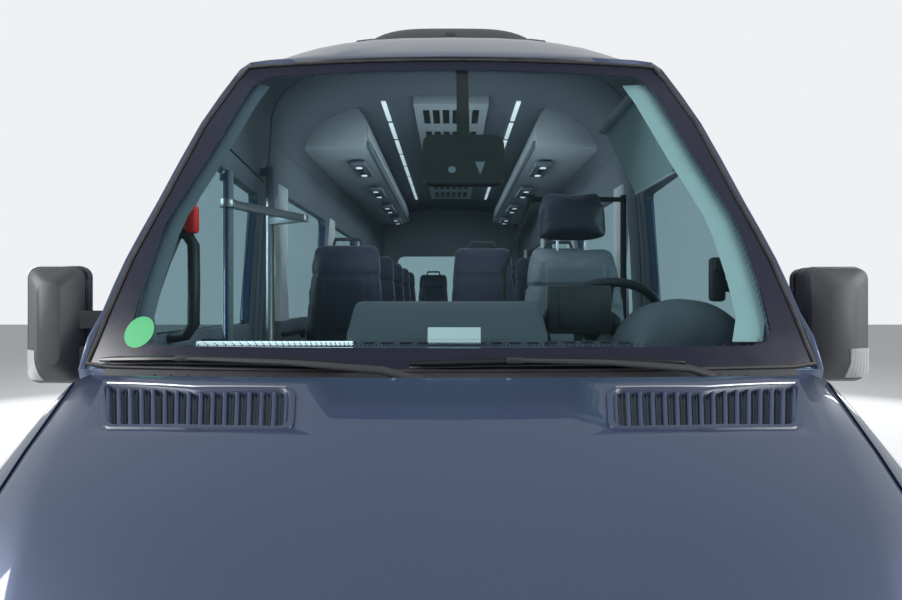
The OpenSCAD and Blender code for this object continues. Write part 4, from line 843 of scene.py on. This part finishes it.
# Dashboard things: monitor, handset, card, strip of light, ducts
dashLook = {"monitor": [((0.309, -2.050, 1.402), (0.512, -2.022, 1.556), 0.008),
                        ((0.345, -2.055, 1.420), (0.476, -2.048, 1.540), 0.003),
                        ((0.398, -2.034, 1.340), (0.424, -2.014, 1.420), 0.004)],
            "stalk": [(0.411, -2.022, 1.40), (0.411, -2.020, 1.36), (0.420, -2.010, 1.33)],
            "handset": (0.842, -2.060, 1.505, 1.645), "card": (-0.066, 0.084, -2.250, 1.388),
            "strip": (-0.715, -0.275, -2.262, 1.388), "slots": 26, "slotsHalf": 0.66, "slot": 0.017,
            "ducts": [(-0.27, -0.03), (0.01, 0.25)], "ductBars": 7, "ductLow": 1.405, "ductPitch": 0.012}
fittings, card, strip, ducts = Shape(), Shape(), Shape(), Shape()
for low, high, soft in dashLook["monitor"]:
    fittings.box(low, high, soft)
fittings.tube(dashLook["stalk"], 0.012, 10)
x, y, low, high = dashLook["handset"]
fittings.box((x - 0.024, y - 0.016, low), (x + 0.024, y + 0.018, high), 0.012)
fittings.box((x - 0.018, y - 0.024, high - 0.046), (x + 0.018, y - 0.008, high - 0.006), 0.008)
fittings.box((x + 0.010, y - 0.006, low + 0.03), (x + 0.058, y + 0.012, low + 0.07), 0.004)
fittings.done("dashFittings", "dashDark")
left, right, y, z = dashLook["card"]
card.sheet([[(left + (right - left) * u / 6, y + 0.016 * v / 4 + 0.002 * math.sin(u), z + 0.044 * v / 4)
             for u in range(7)] for v in range(5)], 0.0008)
card.done("dashCard", "white")
left, right, y, z = dashLook["strip"]
strip.box((left, y, z - 0.006), (right, y + 0.016, z + 0.006), 0.004)
strip.done("dashStrip", "ledStrip")
for k in range(dashLook["slots"]):
    x = dashLook["slotsHalf"] * (2 * k / (dashLook["slots"] - 1) - 1)
    ducts.box((x - dashLook["slot"], -2.215, 1.384), (x + dashLook["slot"], -2.201, 1.3885), 0.003)
for left, right in dashLook["ducts"]:
    for k in range(dashLook["ductBars"]):
        z = dashLook["ductLow"] + dashLook["ductPitch"] * k
        ducts.box((left, -1.962, z), (right, -1.952, z + 0.006), 0.002)
ducts.done("dashDucts", "gloss")

# Steering wheel: a rim round the hub, four spokes, and a boss in rings of [radius, lift]
wheelLook = {"centre": (0.530, -1.860, 1.420), "axis": (0.0, 0.74314, 0.66913), "radius": 0.2, "grip": 0.0155,
             "spoke": [0.03, 0.02, 0.014], "boss": [(0.030, -0.06), (0.062, -0.045), (0.074, -0.018),
                                                    (0.070, 0.0), (0.050, 0.010), (0.010, 0.013)]}
hub, axle = Vector(wheelLook["centre"]), Vector(wheelLook["axis"])
across = Vector((1, 0, 0))
upright = axle.cross(across)


def onWheel(r, a, lift=0.0):
    return hub + (across * math.cos(a) + upright * math.sin(a)) * r + axle * lift


wheel, turns = Shape(), [2 * math.pi * k / 64 for k in range(65)]
wheel.tube([onWheel(wheelLook["radius"], a) for a in turns],
           [wheelLook["grip"] * (1.0 + 0.12 * (abs(math.cos(a)) > 0.86)) for a in turns], 12, False)
for a in (0.0, math.pi, math.pi / 2, -math.pi / 2):
    wheel.tube([onWheel(0.05, a, -0.022), onWheel(0.11, a, -0.018), onWheel(wheelLook["radius"], a)],
               wheelLook["spoke"], 10, True, 0.5)
wheel.rings([[onWheel(r, 2 * math.pi * k / 40, lift) for k in range(40)] for r, lift in wheelLook["boss"]])
wheel.tube([hub - axle * 0.05, hub - axle * 0.20], 0.028, 16)
wheel.done("steeringWheel", "dashDark", "hand_wheel", 50)
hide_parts("steering_wheel")
print("dashboard built")


# Padded seats: a shell blown up by Cloth, then its seams drawn in; side outlines of [y, z]
seatLook = {"pressure": 4.0, "frames": 20, "cap": 0.016, "voxel": 0.018, "wide": 0.450, "neck": 0.380,
            "driverVoxel": 0.011, "driverCap": 0.018, "driverWide": 0.470, "headCap": 0.012,
            "headWide": 0.285, "headNeck": 0.240, "seam": (0.009, 0.011), "driverSeam": (0.009, 0.008),
            "floor": 0.700}
cushionSide = [(-0.425, 0.325), (-0.452, 0.362), (-0.446, 0.405), (-0.420, 0.420), (-0.250, 0.414),
               (-0.095, 0.410), (-0.070, 0.395), (-0.070, 0.330)]
backSide = [(-0.040, 0.350), (-0.044, 0.440), (0.000, 0.700), (0.022, 0.840), (0.040, 1.030),
            (0.076, 1.132), (0.110, 1.143), (0.142, 1.105), (0.135, 0.830), (0.084, 0.350)]
headSide = [(0.050, 1.080), (0.060, 1.215), (0.085, 1.280), (0.125, 1.282), (0.155, 1.215), (0.150, 1.080)]
shellSteps = [(-1, 0.35), (-0.985, 0.72), (-0.93, 0.93), (-0.8, 1), (-0.4, 1), (0, 1), (0.4, 1), (0.8, 1),
              (0.93, 0.93), (0.985, 0.72), (1, 0.35)]  # share of the width, size of the outline there


def seatShell(side, wide, neck):
    # side outline swept across, drawn in towards the ends and towards the top
    rings = []
    middle = Vector((sum(p[0] for p in side) / len(side), sum(p[1] for p in side) / len(side)))
    low, high = min(p[1] for p in side), max(p[1] for p in side)
    for s, shrink in shellSteps:
        ring = []
        for y, z in side:
            p = middle + (Vector((y, z)) - middle) * (0.55 + 0.45 * shrink)
            width = wide - (wide - neck) * max(0.0, (p.y - low) / (high - low) - 0.55) / 0.45
            ring.append((s * width / 2, p.x, p.y))
        rings.append(ring)
    return rings


def plump(name, rings, voxel, cap):
    shell = Shape()
    shell.rings(rings)
    piece = shell.done(name, "seatBlue")
    bpy.context.view_layer.objects.active = piece
    remesh = piece.modifiers.new("remesh", "REMESH")
    remesh.mode, remesh.voxel_size = "VOXEL", voxel
    bake(piece)
    rest = [v.co.copy() for v in piece.data.vertices]
    cloth = piece.modifiers.new("cloth", "CLOTH")
    cloth.settings.use_pressure = True
    cloth.settings.uniform_pressure_force = seatLook["pressure"]
    cloth.settings.effector_weights.gravity = 0.0
    for frameNumber in range(1, seatLook["frames"] + 1):
        bpy.context.scene.frame_set(frameNumber)
        bpy.context.view_layer.update()
    bake(piece)
    bpy.context.scene.frame_set(1)
    for vertex, start in zip(piece.data.vertices, rest):
        move = vertex.co - start
        if move.length > cap:
            vertex.co = start + move * (cap / move.length)
    return piece.data


def bake(piece):
    # modifiers applied to the mesh
    graph = bpy.context.evaluated_depsgraph_get()
    data = bpy.data.meshes.new_from_object(piece.evaluated_get(graph))
    piece.modifiers.clear()
    piece.data = data


def sewn(data, lines, seam):
    # seams as grooves: [where it runs, its place, from, to]
    depth, wide = seam
    for vertex in data.vertices:
        x, y, z = vertex.co
        for kind, place, low, high in lines:
            along, at = {"across": (x, z), "up": (z, x), "deep": (y, x), "over": (x, y)}[kind]
            if low <= along <= high:
                vertex.co -= vertex.normal * depth * math.exp(-((at - place) / wide) ** 2)
                x, y, z = vertex.co
    return data


def passengerPad(name, rings, lines):
    return sewn(plump(name, rings, seatLook["voxel"], seatLook["cap"]), lines, seatLook["seam"])


def driverPad(name, rings, lines):
    pad = plump(name, rings, seatLook["driverVoxel"], seatLook["driverCap"])
    return sewn(pad, lines, seatLook["driverSeam"])


wide, neck, driverWide = seatLook["wide"], seatLook["neck"], seatLook["driverWide"]
passengerCushion = passengerPad("cushionForm", seatShell(cushionSide, wide, wide), [
    ("deep", -0.125, -0.5, 0.0), ("deep", 0.125, -0.5, 0.0), ("over", -0.36, -0.125, 0.125)])
passengerBack = passengerPad("backForm", seatShell(backSide, wide, neck), [
    ("up", -0.125, 0.3, 0.95), ("up", 0.125, 0.3, 0.95), ("across", 0.62, -0.125, 0.125),
    ("across", 0.95, -0.3, 0.3)])
driverCushion = driverPad("driverCushionForm", seatShell(cushionSide, driverWide, driverWide), [
    ("deep", -0.145, -0.5, 0.0), ("deep", 0.145, -0.5, 0.0), ("over", -0.33, -0.145, 0.145)])
driverBack = driverPad("driverBackForm", seatShell([(y, z * 0.92) for y, z in backSide], driverWide, neck), [
    ("up", -0.135, 0.3, 0.96), ("up", 0.135, 0.3, 0.96), ("across", 0.55, -0.135, 0.135),
    ("across", 0.87, -0.3, 0.3), ("up", 0.0, 0.56, 0.86)])
driverHead = plump("driverHeadForm", seatShell(headSide, seatLook["headWide"], seatLook["headNeck"]),
                   seatLook["driverVoxel"], seatLook["headCap"])
for form in ("cushionForm", "backForm", "driverCushionForm", "driverBackForm", "driverHeadForm"):
    bpy.data.objects.remove(bpy.data.objects[form])

# seats: [x, back foot y, width]
rows = ([(-0.600, -0.730 + 0.760 * i, 0.480) for i in range(5)]
        + [(x, -0.560 + 0.760 * i, 0.440) for i in range(4) for x in (0.193, 0.657)]
        + [(x, 2.960, 0.430) for x in (-0.660, -0.220, 0.220, 0.660)])


def seatAt(name, data, spot, scale, finish, node):
    mesh = data.copy()
    for vertex in mesh.vertices:
        vertex.co = Vector((vertex.co.x * scale, vertex.co.y, vertex.co.z)) + Vector(spot)
    for polygon in mesh.polygons:
        polygon.use_smooth = True
    piece = placed(name, mesh, finish, "body", "seat_blue" if finish == "seatBlue" else "seat_grey")
    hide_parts(node)


for i, (x, y, wide) in enumerate(rows):
    for kind, data in (("Cushion", passengerCushion), ("Back", passengerBack)):
        seatAt("seat%d%s" % (i + 1, kind), data, (x, y, seatLook["floor"]), wide / 0.480, "seatBlue",
               "passenger_seats")
for kind, data, finish in (("Cushion", driverCushion, "seatGrey"), ("Back", driverBack, "seatGrey"),
                           ("Head", driverHead, "seatBlue")):
    seatAt("driver" + kind, data, (0.530, -1.480, seatLook["floor"]), 1.0, finish, "driver_seat")

# Driver's seat base and headrest posts, armrests, pockets and grab handles of the passengers' seats
seatBits = {"posts": (0.468, 0.592), "base": [((0.330, -1.88, 0.85), (0.730, -1.47, 1.030), 0.02),
                                              ((0.300, -1.90, 0.706), (0.345, -1.40, 0.76), 0.008),
                                              ((0.715, -1.90, 0.706), (0.760, -1.40, 0.76), 0.008),
                                              ((0.360, -1.84, 0.74), (0.700, -1.50, 0.88), 0.02)],
            "handle": [(-0.09, 1.80), (-0.07, 1.862), (0.07, 1.862), (0.09, 1.80)]}
posts, seatBase, arms = Shape(), Shape(), Shape()
for x in seatBits["posts"]:
    posts.tube([(x, -1.375, 1.60), (x, -1.375, 1.84)], 0.006, 12)
posts.done("headrestPosts", "chrome")
for low, high, soft in seatBits["base"]:
    seatBase.box(low, high, soft)
seatBase.done("driverSeatBase", "dashDark")
for x, y, wide in rows:
    for side in (-1, 1):
        # single seats have both armrests, pairs the outer ones, the bench none
        if wide > 0.45 or (wide > 0.435 and (side < 0) == (x < 0.4)):
            edge = x + side * (wide / 2 - 0.006)
            arms.box((edge - 0.016, y - 0.33, 1.325), (edge + 0.016, y + 0.03, 1.352), 0.011)
            arms.box((edge - 0.008, y, 1.30), (edge + 0.008, y + 0.05, 1.345), 0.005)
    arms.box((x - wide / 2 + 0.03, y + 0.146, 1.05), (x + wide / 2 - 0.03, y + 0.158, 1.13), 0.005)
    arms.tube([(x + across, y + 0.125, z) for across, z in seatBits["handle"]], 0.011, 10)
arms.done("seatArms", "dashDark")
print("seats built")

# Luggage racks: lids and ends in outlines of [x, z], units with lamps and nozzles
rackLook = {"start": -0.50, "end": 2.70, "lids": 4, "gap": 0.01, "unit": 0.60, "unitHalf": (0.055, 0.17),
            "lid": [(0.512, 2.502), (0.506, 2.530), (0.512, 2.575), (0.534, 2.625), (0.566, 2.662)],
            "cap": [(0.512, 2.436), (0.506, 2.530), (0.512, 2.575), (0.534, 2.625), (0.566, 2.662),
                    (0.720, 2.640), (0.840, 2.560), (0.905, 2.450), (0.900, 2.412)],
            "lamp": [(0, 0.001), (0, 0.020), (0.006, 0.022), (0.006, 0.001)],
            "nozzle": [(0, 0.001), (0, 0.012), (0.004, 0.018), (0.010, 0.021), (0.010, 0.001)],
            "edge": (0.512, 2.452, 0.022), "lamps": (-0.11, 0.11), "nozzles": (-0.04, 0.04)}
long = (rackLook["end"] - rackLook["start"]) / rackLook["lids"]
for side, sideName in ((1, "Left"), (-1, "Right")):
    lids, units, lenses, nozzles = Shape(), Shape(), Shape(), Shape()
    for i in range(rackLook["lids"]):
        y0 = rackLook["start"] + rackLook["gap"] + i * long
        y1 = y0 + long - 2 * rackLook["gap"]
        lids.sheet([[(side * x, y0 + (y1 - y0) * v / 8, z - 0.004 * (abs(v - 4) / 4) ** 6) for v in range(9)]
                    for x, z in rackLook["lid"]], 0.010)
        middle, x, (wide, deep) = (y0 + y1) / 2, side * rackLook["unit"], rackLook["unitHalf"]
        units.box((x - wide, middle - deep, 2.372), (x + wide, middle + deep, 2.404), 0.012)
        for shift in rackLook["lamps"]:
            lenses.lathe(rackLook["lamp"], (x, middle + shift, 2.368), "Z", 20)
        for shift in rackLook["nozzles"]:
            nozzles.lathe(rackLook["nozzle"], (x, middle + shift, 2.364), "Z", 20)
    for y0 in (rackLook["start"] - 0.012, rackLook["end"] - 0.004):
        lids.prism([(side * x, z) for x, z in rackLook["cap"]], "Y", y0, y0 + 0.016, 0.004)
    lids.done("rackLids" + sideName, "trim")
    units.done("rackUnits" + sideName, "trimDark")
    lenses.done("readingLamps" + sideName, "ledStrip")
    nozzles.done("airNozzles" + sideName, "gloss")
    edge = Shape()
    x, z, radius = rackLook["edge"]
    edge.tube([(side * x, rackLook["start"] + 0.02 + (rackLook["end"] - rackLook["start"] - 0.04) * k / 12, z)
               for k in range(13)], radius, 14)
    edge.done("rackEdge" + sideName, "trimDark")

# Ceiling: rows of lights along the racks, grilles in the duct
ceilingLook = {"light": (0.40, 0.014, 0.34), "lights": 8, "start": -0.55, "pitch": 0.40, "roof": 2.68,
               "ducts": 7, "ductStart": -0.50, "ductPitch": 0.42, "ductLong": 0.24, "bars": 6,
               "barPitch": 0.06, "bar": 0.020, "barLow": 2.6445, "barHigh": 2.6495}
x, wide, span = ceilingLook["light"]
for side, sideName in ((1, "Left"), (-1, "Right")):
    led = Shape()
    for i in range(ceilingLook["lights"]):
        y0 = ceilingLook["start"] + i * ceilingLook["pitch"]
        roof = cast("roof_shell", (side * x, y0 + 0.18, 2.3), (0, 0, 1))
        top = (roof.z if roof else ceilingLook["roof"]) - 0.001
        led.box((side * x - wide, y0, top - 0.012), (side * x + wide, y0 + span, top), 0.004)
    led.done("ceilingLights" + sideName, "ledStrip")
duct = Shape()
for i in range(ceilingLook["ducts"]):
    y0 = ceilingLook["ductStart"] + i * ceilingLook["ductPitch"]
    for k in range(ceilingLook["bars"]):
        x = ceilingLook["barPitch"] * (k - (ceilingLook["bars"] - 1) / 2)
        duct.box((x - ceilingLook["bar"], y0, ceilingLook["barLow"]),
                 (x + ceilingLook["bar"], y0 + ceilingLook["ductLong"], ceilingLook["barHigh"]), 0.002)
duct.done("ductGrilles", "dashDark")

# Curtains, gathered at the pillars and hung from a rod
curtainLook = {"top": 2.115, "low": 1.400, "rod": 0.905, "rodStart": -0.98, "rodLong": 4.2, "each": 4,
               "start": -0.995, "pitch": 1.240, "folds": 5, "deep": 0.019, "wide": 0.17, "waist": 0.38,
               "rows": 14}
drop = curtainLook["top"] - curtainLook["low"]
steps = curtainLook["folds"] * 12
for side, sideName in ((1, "Left"), (-1, "Right")):
    rod = Shape()
    rod.tube([(side * curtainLook["rod"], curtainLook["rodStart"] + curtainLook["rodLong"] * k / 8,
               curtainLook["top"] + 0.012) for k in range(9)], 0.005, 8)
    rod.done("curtainRod" + sideName, "steel")
    for i in range(curtainLook["each"]):
        y0 = curtainLook["start"] + curtainLook["pitch"] * i + (0.02 if i else 0.04)
        grid, flat = [], 0.0
        for r in range(curtainLook["rows"] + 1):
            t = r / curtainLook["rows"]
            waist = 1.0 - curtainLook["waist"] * math.exp(-((t - 0.60) / 0.16) ** 2)
            deep = curtainLook["deep"] * (0.75 + 0.25 * t) * (0.6 + 0.4 * waist)
            row = []
            for c in range(steps + 1):
                u = c / steps
                wave = math.sin(2 * math.pi * curtainLook["folds"] * u + 0.7 * math.sin(3 * t + i))
                row.append(Vector((side * (curtainLook["rod"] + deep * wave),
                                   y0 + curtainLook["wide"] * (0.5 + (u - 0.5) * waist),
                                   curtainLook["top"] - drop * t)))
            grid.append(row)
            flat = max(flat, sum((b - a).length for a, b in zip(row, row[1:])))
        cloth = Shape()
        cloth.sheet(grid, 0.0012)
        piece = cloth.done("curtain%s%d" % (sideName, i + 1), "curtain", "body", 80)

# Roller blind at the driver's window
blindLook = {"roller": (0.700, 2.298, 0.020), "bar": (0.858, 2.000, 0.007), "from": -1.80, "to": -1.25,
             "top": (0.712, 2.285), "across": 0.142, "drop": 0.280, "wide": 0.54}
blindBars, blind = Shape(), Shape()
for bar in ("roller", "bar"):
    x, z, radius = blindLook[bar]
    blindBars.tube([(x, blindLook["from"], z), (x, blindLook["to"], z)], radius,
                   16 if bar == "roller" else 10)
blindBars.done("blindRoller", "trim")
x, z = blindLook["top"]
blindLine = [(x + blindLook["across"] * k / 10, z - blindLook["drop"] * k / 10) for k in range(11)]
blind.sheet([[Vector((x, blindLook["from"] + 0.005 + blindLook["wide"] * c / 12, z)) for c in range(13)]
             for x, z in blindLine], 0.001)
piece = blind.done("driverBlind", "blind", "body", 80)
print("racks, curtains and blind built")

# Pillar trim behind the glass, one light plastic on both sides: the left one is wide and light, the right one
# is narrower and takes the dark grey finish as painted shade
pillarLook = {"low": 1.400, "high": 2.260, "steps": 14, "Left": (0.075, "pillarTrim"),
              "Right": (0.034, "trimDark")}
for side, sideName in ((1, "Left"), (-1, "Right")):
    wide, finish = pillarLook[sideName]
    strips = []
    for k in range(pillarLook["steps"] + 1):
        z = pillarLook["low"] + (pillarLook["high"] - pillarLook["low"]) * k / pillarLook["steps"]
        a = next(p.lerp(q, (z - p.y) / (q.y - p.y)) for p, q in zip(clearHalf, clearHalf[1:])
                 if q.y > p.y and p.y <= z <= q.y + 1e-4)
        face = screenAt(side * (a.x + 0.006), z, -0.020)
        inner = screenAt(side * (a.x - wide), z, -0.034)
        strips.append([face, face.lerp(inner, 0.35) + Vector((0, -0.006, 0)),
                       face.lerp(inner, 0.7) + Vector((0, -0.004, 0)), inner,
                       inner + Vector((side * 0.016, 0.030, 0))])
    pillar = Shape()
    pillar.sheet(strips, 0.004)
    pillar.done("pillarTrim" + sideName, finish)

# The entry door's grab tube with its red release
grabLook = {"tube": [(-0.905, -1.985, 1.735), (-0.868, -1.990, 1.725), (-0.845, -1.995, 1.690),
                     (-0.842, -1.998, 1.560), (-0.845, -1.995, 1.430), (-0.872, -1.990, 1.395),
                     (-0.925, -1.985, 1.385)], "radius": 0.019,
            "pin": [(-0.900, -1.99, 1.785), (-0.850, -1.995, 1.785)],
            "knob": ((-0.868, -2.018, 1.728), (-0.832, -1.972, 1.822))}
grab, release = Shape(), Shape()
grab.tube(grabLook["tube"], grabLook["radius"], 14)
grab.done("doorGrab", "dashDark", "door_leaf")
release.tube(grabLook["pin"], 0.009, 10)
release.box(*grabLook["knob"], 0.012)
release.done("redRelease", "red", "door_leaf")

# Mirrors: two glasses behind, a seam round the shell, a clear lamp at the lower outer corner
mirrorLook = {"inner": 1.054, "outer": 1.188, "corner": 0.024, "glasses": [(1.395, 1.588), (1.292, 1.380)],
              "rearLeft": -2.110, "rearRight": -2.207, "lamp": (1.135, 1.25, 1.288, 1.372)}


def ordered(a, b):
    return min(a, b), max(a, b)


for side, sideName, node in ((1, "Left", "mirror_left"), (-1, "Right", "mirror_right")):
    body, rear = bodyOf(node), mirrorLook["rear" + sideName]
    inner, outer = side * mirrorLook["inner"], side * mirrorLook["outer"]
    glass, rim = Shape(), Shape()
    for low, high in mirrorLook["glasses"]:
        outline = softLoop(corners(inner, outer, low, high), mirrorLook["corner"])
        glass.rings([[(x, rear + back, z) for x, z in outline] for back in (0.002, 0.004)])
        rim.tube([(x, rear + 0.002, z) for x, z in outline + outline[:2]], 0.003, 6, False)
    glass.done("mirrorFace" + sideName, "mirrorGlass", body)
    rim.done("mirrorRim" + sideName, "rubber", body)
    inner, outer, low, high = mirrorLook["lamp"]
    left, right = ordered(side * inner, side * outer)
    cut(node, (left, -2.32, low), (right, rear - 0.030, high), 0.0016, "mirrorLamp" + sideName, "lens", body)
    left, right = ordered(side * 1.02, side * outer)
    cut(node, (left, rear - 0.034, 1.2), (right, rear - 0.026, 1.7), 0.0012, "mirrorSeam" + sideName, "gloss",
        body)
print("mirrors detailed")

# Rubber round the side and door windows in outlines of [y, z], rub strips along the sides
sealLook = {"round": 0.0055, "windows": 3, "start": -0.966, "pitch": 1.240, "long": 1.142, "low": 1.394,
            "high": 2.086, "corner": 0.095, "strip": 0.760, "strips": [(-1.06, 1.33), (2.39, 3.20)],
            "door": [(-2.120, 1.400), (-1.870, 1.960), (-1.830, 2.000), (-1.250, 2.000), (-1.230, 1.980),
                     (-1.230, 1.400)], "doorMiddle": (-1.60, 1.66), "doorOut": 0.007}
for side, sideName, door in ((1, "Left", "driver_door"), (-1, "Right", "entry_door")):
    wall = "side_wall_" + sideName.lower()
    seals, strips, doorSeal = Shape(), Shape(), Shape()
    for i in range(sealLook["windows"]):
        y0 = sealLook["start"] + sealLook["pitch"] * i
        loop = softLoop(corners(y0, y0 + sealLook["long"], sealLook["low"], sealLook["high"]),
                        sealLook["corner"])
        path = [sideAt(wall, y, z, side, 0.001) for y, z in loop]
        seals.tube(path + path[:2], sealLook["round"], 8, False)
    seals.done("windowSeals" + sideName, "rubber")
    for low, high in sealLook["strips"]:
        strips.tube([sideAt(wall, low + (high - low) * k / 24, sealLook["strip"], side, 0.001)
                     for k in range(25)], [0.004] + [0.017] * 23 + [0.004], 10)
    strips.done("rubStrips" + sideName, "plastic")
    middle = Vector(sealLook["doorMiddle"])
    loop = softLoop([tuple(Vector(p) + (Vector(p) - middle).normalized() * sealLook["doorOut"])
                     for p in sealLook["door"]], 0.03)
    path = [sideAt(door, y, z, side, 0.001) for y, z in loop]
    doorSeal.tube(path + path[:2], sealLook["round"], 8, False)
    doorSeal.done("doorSeal" + sideName, "rubber", bodyOf(door))

# Rear: rubber round the window, the flap's handle
rearLook = {"half": 0.707, "low": 1.413, "high": 2.087, "corner": 0.11,
            "handle": ((-0.09, 3.452, 0.795), (0.09, 3.468, 0.835))}
rearSeal, handle = Shape(), Shape()
loop = softLoop(corners(-rearLook["half"], rearLook["half"], rearLook["low"], rearLook["high"]),
                rearLook["corner"])
path = [(cast("rear_wall", (x, 6, z), (0, -1, 0)) or Vector((x, 3.44, z))) + Vector((0, 0.001, 0))
        for x, z in loop]
rearSeal.tube(path + path[:2], sealLook["round"], 8, False)
rearSeal.done("rearSeal", "rubber")
handle.box(*rearLook["handle"], 0.007)
handle.done("flapHandle", "plastic", "rear_flap")

# Lamps: colours in the rear clusters, bowls of [depth, share of the radius] with bulbs in front
lampLook = {"cluster": (0.72, 0.95, 3.30, 3.60), "turn": (1.165, 1.245), "reverse": (0.985, 1.055),
            "bowls": [(0.705, 0.735, 0.078), (0.775, 0.822, 0.060)], "bowlAt": -3.288, "bulbAt": -3.276,
            "bowl": [(0.0, 1.0), (0.012, 0.97), (0.040, 0.75), (0.060, 0.42)],
            "bulb": [(0.0, 0.001), (0.004, 0.011), (0.040, 0.012), (0.046, 0.001)]}
inner, outer, ahead, behind = lampLook["cluster"]
for side, sideName in ((1, "Left"), (-1, "Right")):
    left, right = ordered(side * inner, side * outer)
    for key, finish in (("turn", "amberLens"), ("reverse", "lens")):
        low, high = lampLook[key]
        cut("lamps", (left, ahead, low), (right, behind, high), 0.0016, key + "Lamp" + sideName, finish,
            "body")
    bowls, bulbs = Shape(), Shape()
    for x, z, r in lampLook["bowls"]:
        bowls.lathe([(depth, r * share) for depth, share in lampLook["bowl"]] + [(0.066, 0.012)],
                    (side * x, lampLook["bowlAt"], z), "Y", 32)
        bulbs.lathe(lampLook["bulb"], (side * x, lampLook["bulbAt"], z), "Y", 20)
    bowls.done("lampBowls" + sideName, "chrome")
    bulbs.done("lampBulbs" + sideName, "white")

# Wheels: nuts and a centre cap on each outer disc, in profiles of [outwards, radius]
wheelBits = {"nuts": 6, "circle": 0.082,
             "nut": [(-0.002, 0.016), (0.004, 0.016), (0.004, 0.0125), (0.020, 0.0125), (0.024, 0.009),
                     (0.024, 0.001)],
             "cap": [(-0.002, 0.060), (0.004, 0.060), (0.008, 0.052), (0.022, 0.048), (0.030, 0.036),
                     (0.032, 0.001)]}


def onRim(node, side, y, z):
    return cast(node, (side * 3, y, z), (-side, 0, 0)) or Vector((side * 0.9, y, z))


for node in ("rim_front_left", "rim_front_right", "rims_rear_left", "rims_rear_right"):
    side, y, z = 1 if "left" in node else -1, wheelPlaces[node.split("_")[1]], wheelPlaces["height"]
    nuts, cap = Shape(), Shape()
    for k in range(wheelBits["nuts"]):
        a = 2 * math.pi * (k + 0.5) / wheelBits["nuts"]
        spot = onRim(node, side, y + wheelBits["circle"] * math.cos(a), z + wheelBits["circle"] * math.sin(a))
        nuts.lathe([(side * out, r) for out, r in wheelBits["nut"]], spot, "X", 6)
    nuts.done("nuts_" + node, "steel", bodyOf(node), 25)
    cap.lathe([(side * out, r) for out, r in wheelBits["cap"]], onRim(node, side, y, z), "X", 36)
    cap.done("cap_" + node, "rim", bodyOf(node), 35)

# Roof unit: a fairing in front of it in a line of [y, z], and grilles over its fans
roofLook = {"half": 0.47, "line": [(-1.12, 2.752), (-1.09, 2.800), (-1.03, 2.862), (-0.96, 2.912),
                                   (-0.89, 2.936), (-0.79, 2.938)],
            "lug": ((-0.030, -1.10, 2.79), (0.022, -1.06, 2.825)), "fans": (-0.350, 0.150, 0.650),
            "rings": (0.06, 0.10, 0.14, 0.18), "ring": 0.0035, "bar": 0.186, "bars": 4}
fairing, grilles = Shape(), Shape()
slices = []
for k in range(25):
    x = roofLook["half"] * (2 * k / 24 - 1)
    fall = (abs(x) / roofLook["half"]) ** 4
    slices.append([(x, y + 0.10 * fall, z - 0.05 * fall * (z > 2.8)) for y, z in roofLook["line"]])
fairing.sheet(slices, 0.012)
fairing.box(*roofLook["lug"], 0.004)
fairing.done("roofFairing", "plastic")
for y in roofLook["fans"]:
    top = (cast("roof_ac_unit", (0.30, y + 0.25, 4.0), (0, 0, -1)) or Vector((0, 0, 2.92))).z
    for r in roofLook["rings"]:
        grilles.tube([(r * math.cos(a), y + r * math.sin(a), top + 0.001)
                      for a in (2 * math.pi * k / 36 for k in range(38))], roofLook["ring"], 6, False)
    for k in range(roofLook["bars"]):
        a = math.pi * k / roofLook["bars"]
        x, ahead = roofLook["bar"] * math.cos(a), roofLook["bar"] * math.sin(a)
        grilles.tube([(end * x, y + end * ahead, top + 0.004) for end in (-1, 1)], 0.003, 6)
grilles.done("fanGrilles", "gloss")
print("outside trim built")

# Painted shells and plain hardware take their form from the frame, with rounded edges
painted = {"cab_frame": (0.003, "trimDark"), "side_wall_left": (0.003, "trimDark"),
           "side_wall_right": (0.003, "trimDark"), "roof_shell": (0.002, "trimDark"),
           "rear_wall": (0.003, "trimDark"), "fenders": (0.003, None), "hood": (0.003, None),
           "entry_door": (0.003, "trimDark"), "driver_door": (0.003, "trimDark"),
           "luggage_flap": (0.004, "trimDark")}  # edge radius, and the lining on the cabin's side
for node, (soft, lining) in painted.items():
    dress(node, "paint", soft, second=lining, where=inward)
hardware = {"front_bumper": "plastic", "rear_bumper": "plastic", "grille": "gloss",
            "roof_ac_unit": "plastic", "mirror_left": "mirrorPlastic", "mirror_right": "mirrorPlastic",
            "luggage_racks": "trim", "door_column": "steel"}
for node, finish in hardware.items():
    dress(node, finish)
dress("handrails", "rail", 0.0, second="dashDark", where=lambda centre, normal: centre.x > 0)
dress("lamps", "lens", 0.003, second="redLens", where=lambda centre, normal: centre.y > 0)

# Nodes that stay as they are, by finish
worn = {"chassis": ("underframe", "fuel_tank", "front_axle", "rear_axle", "leaf_springs"),
        "floor": ("floor_pan",), "cast": ("powertrain_block", "knuckle_left", "knuckle_right"),
        "steel": ("exhaust", "seat_frames"), "tyreFront": ("tyre_front_left", "tyre_front_right"),
        "tyreRear": ("tyres_rear_left", "tyres_rear_right"),
        "rim": ("rim_front_left", "rim_front_right", "rims_rear_left", "rims_rear_right"),
        "sideGlass": ("body_windows", "entry_door_glass", "driver_door_glass"),
        "screenGlass": ("windscreen",)}
for finish, plainNodes in worn.items():
    for node in plainNodes:
        wear(node, finish)
print("frame nodes dressed")
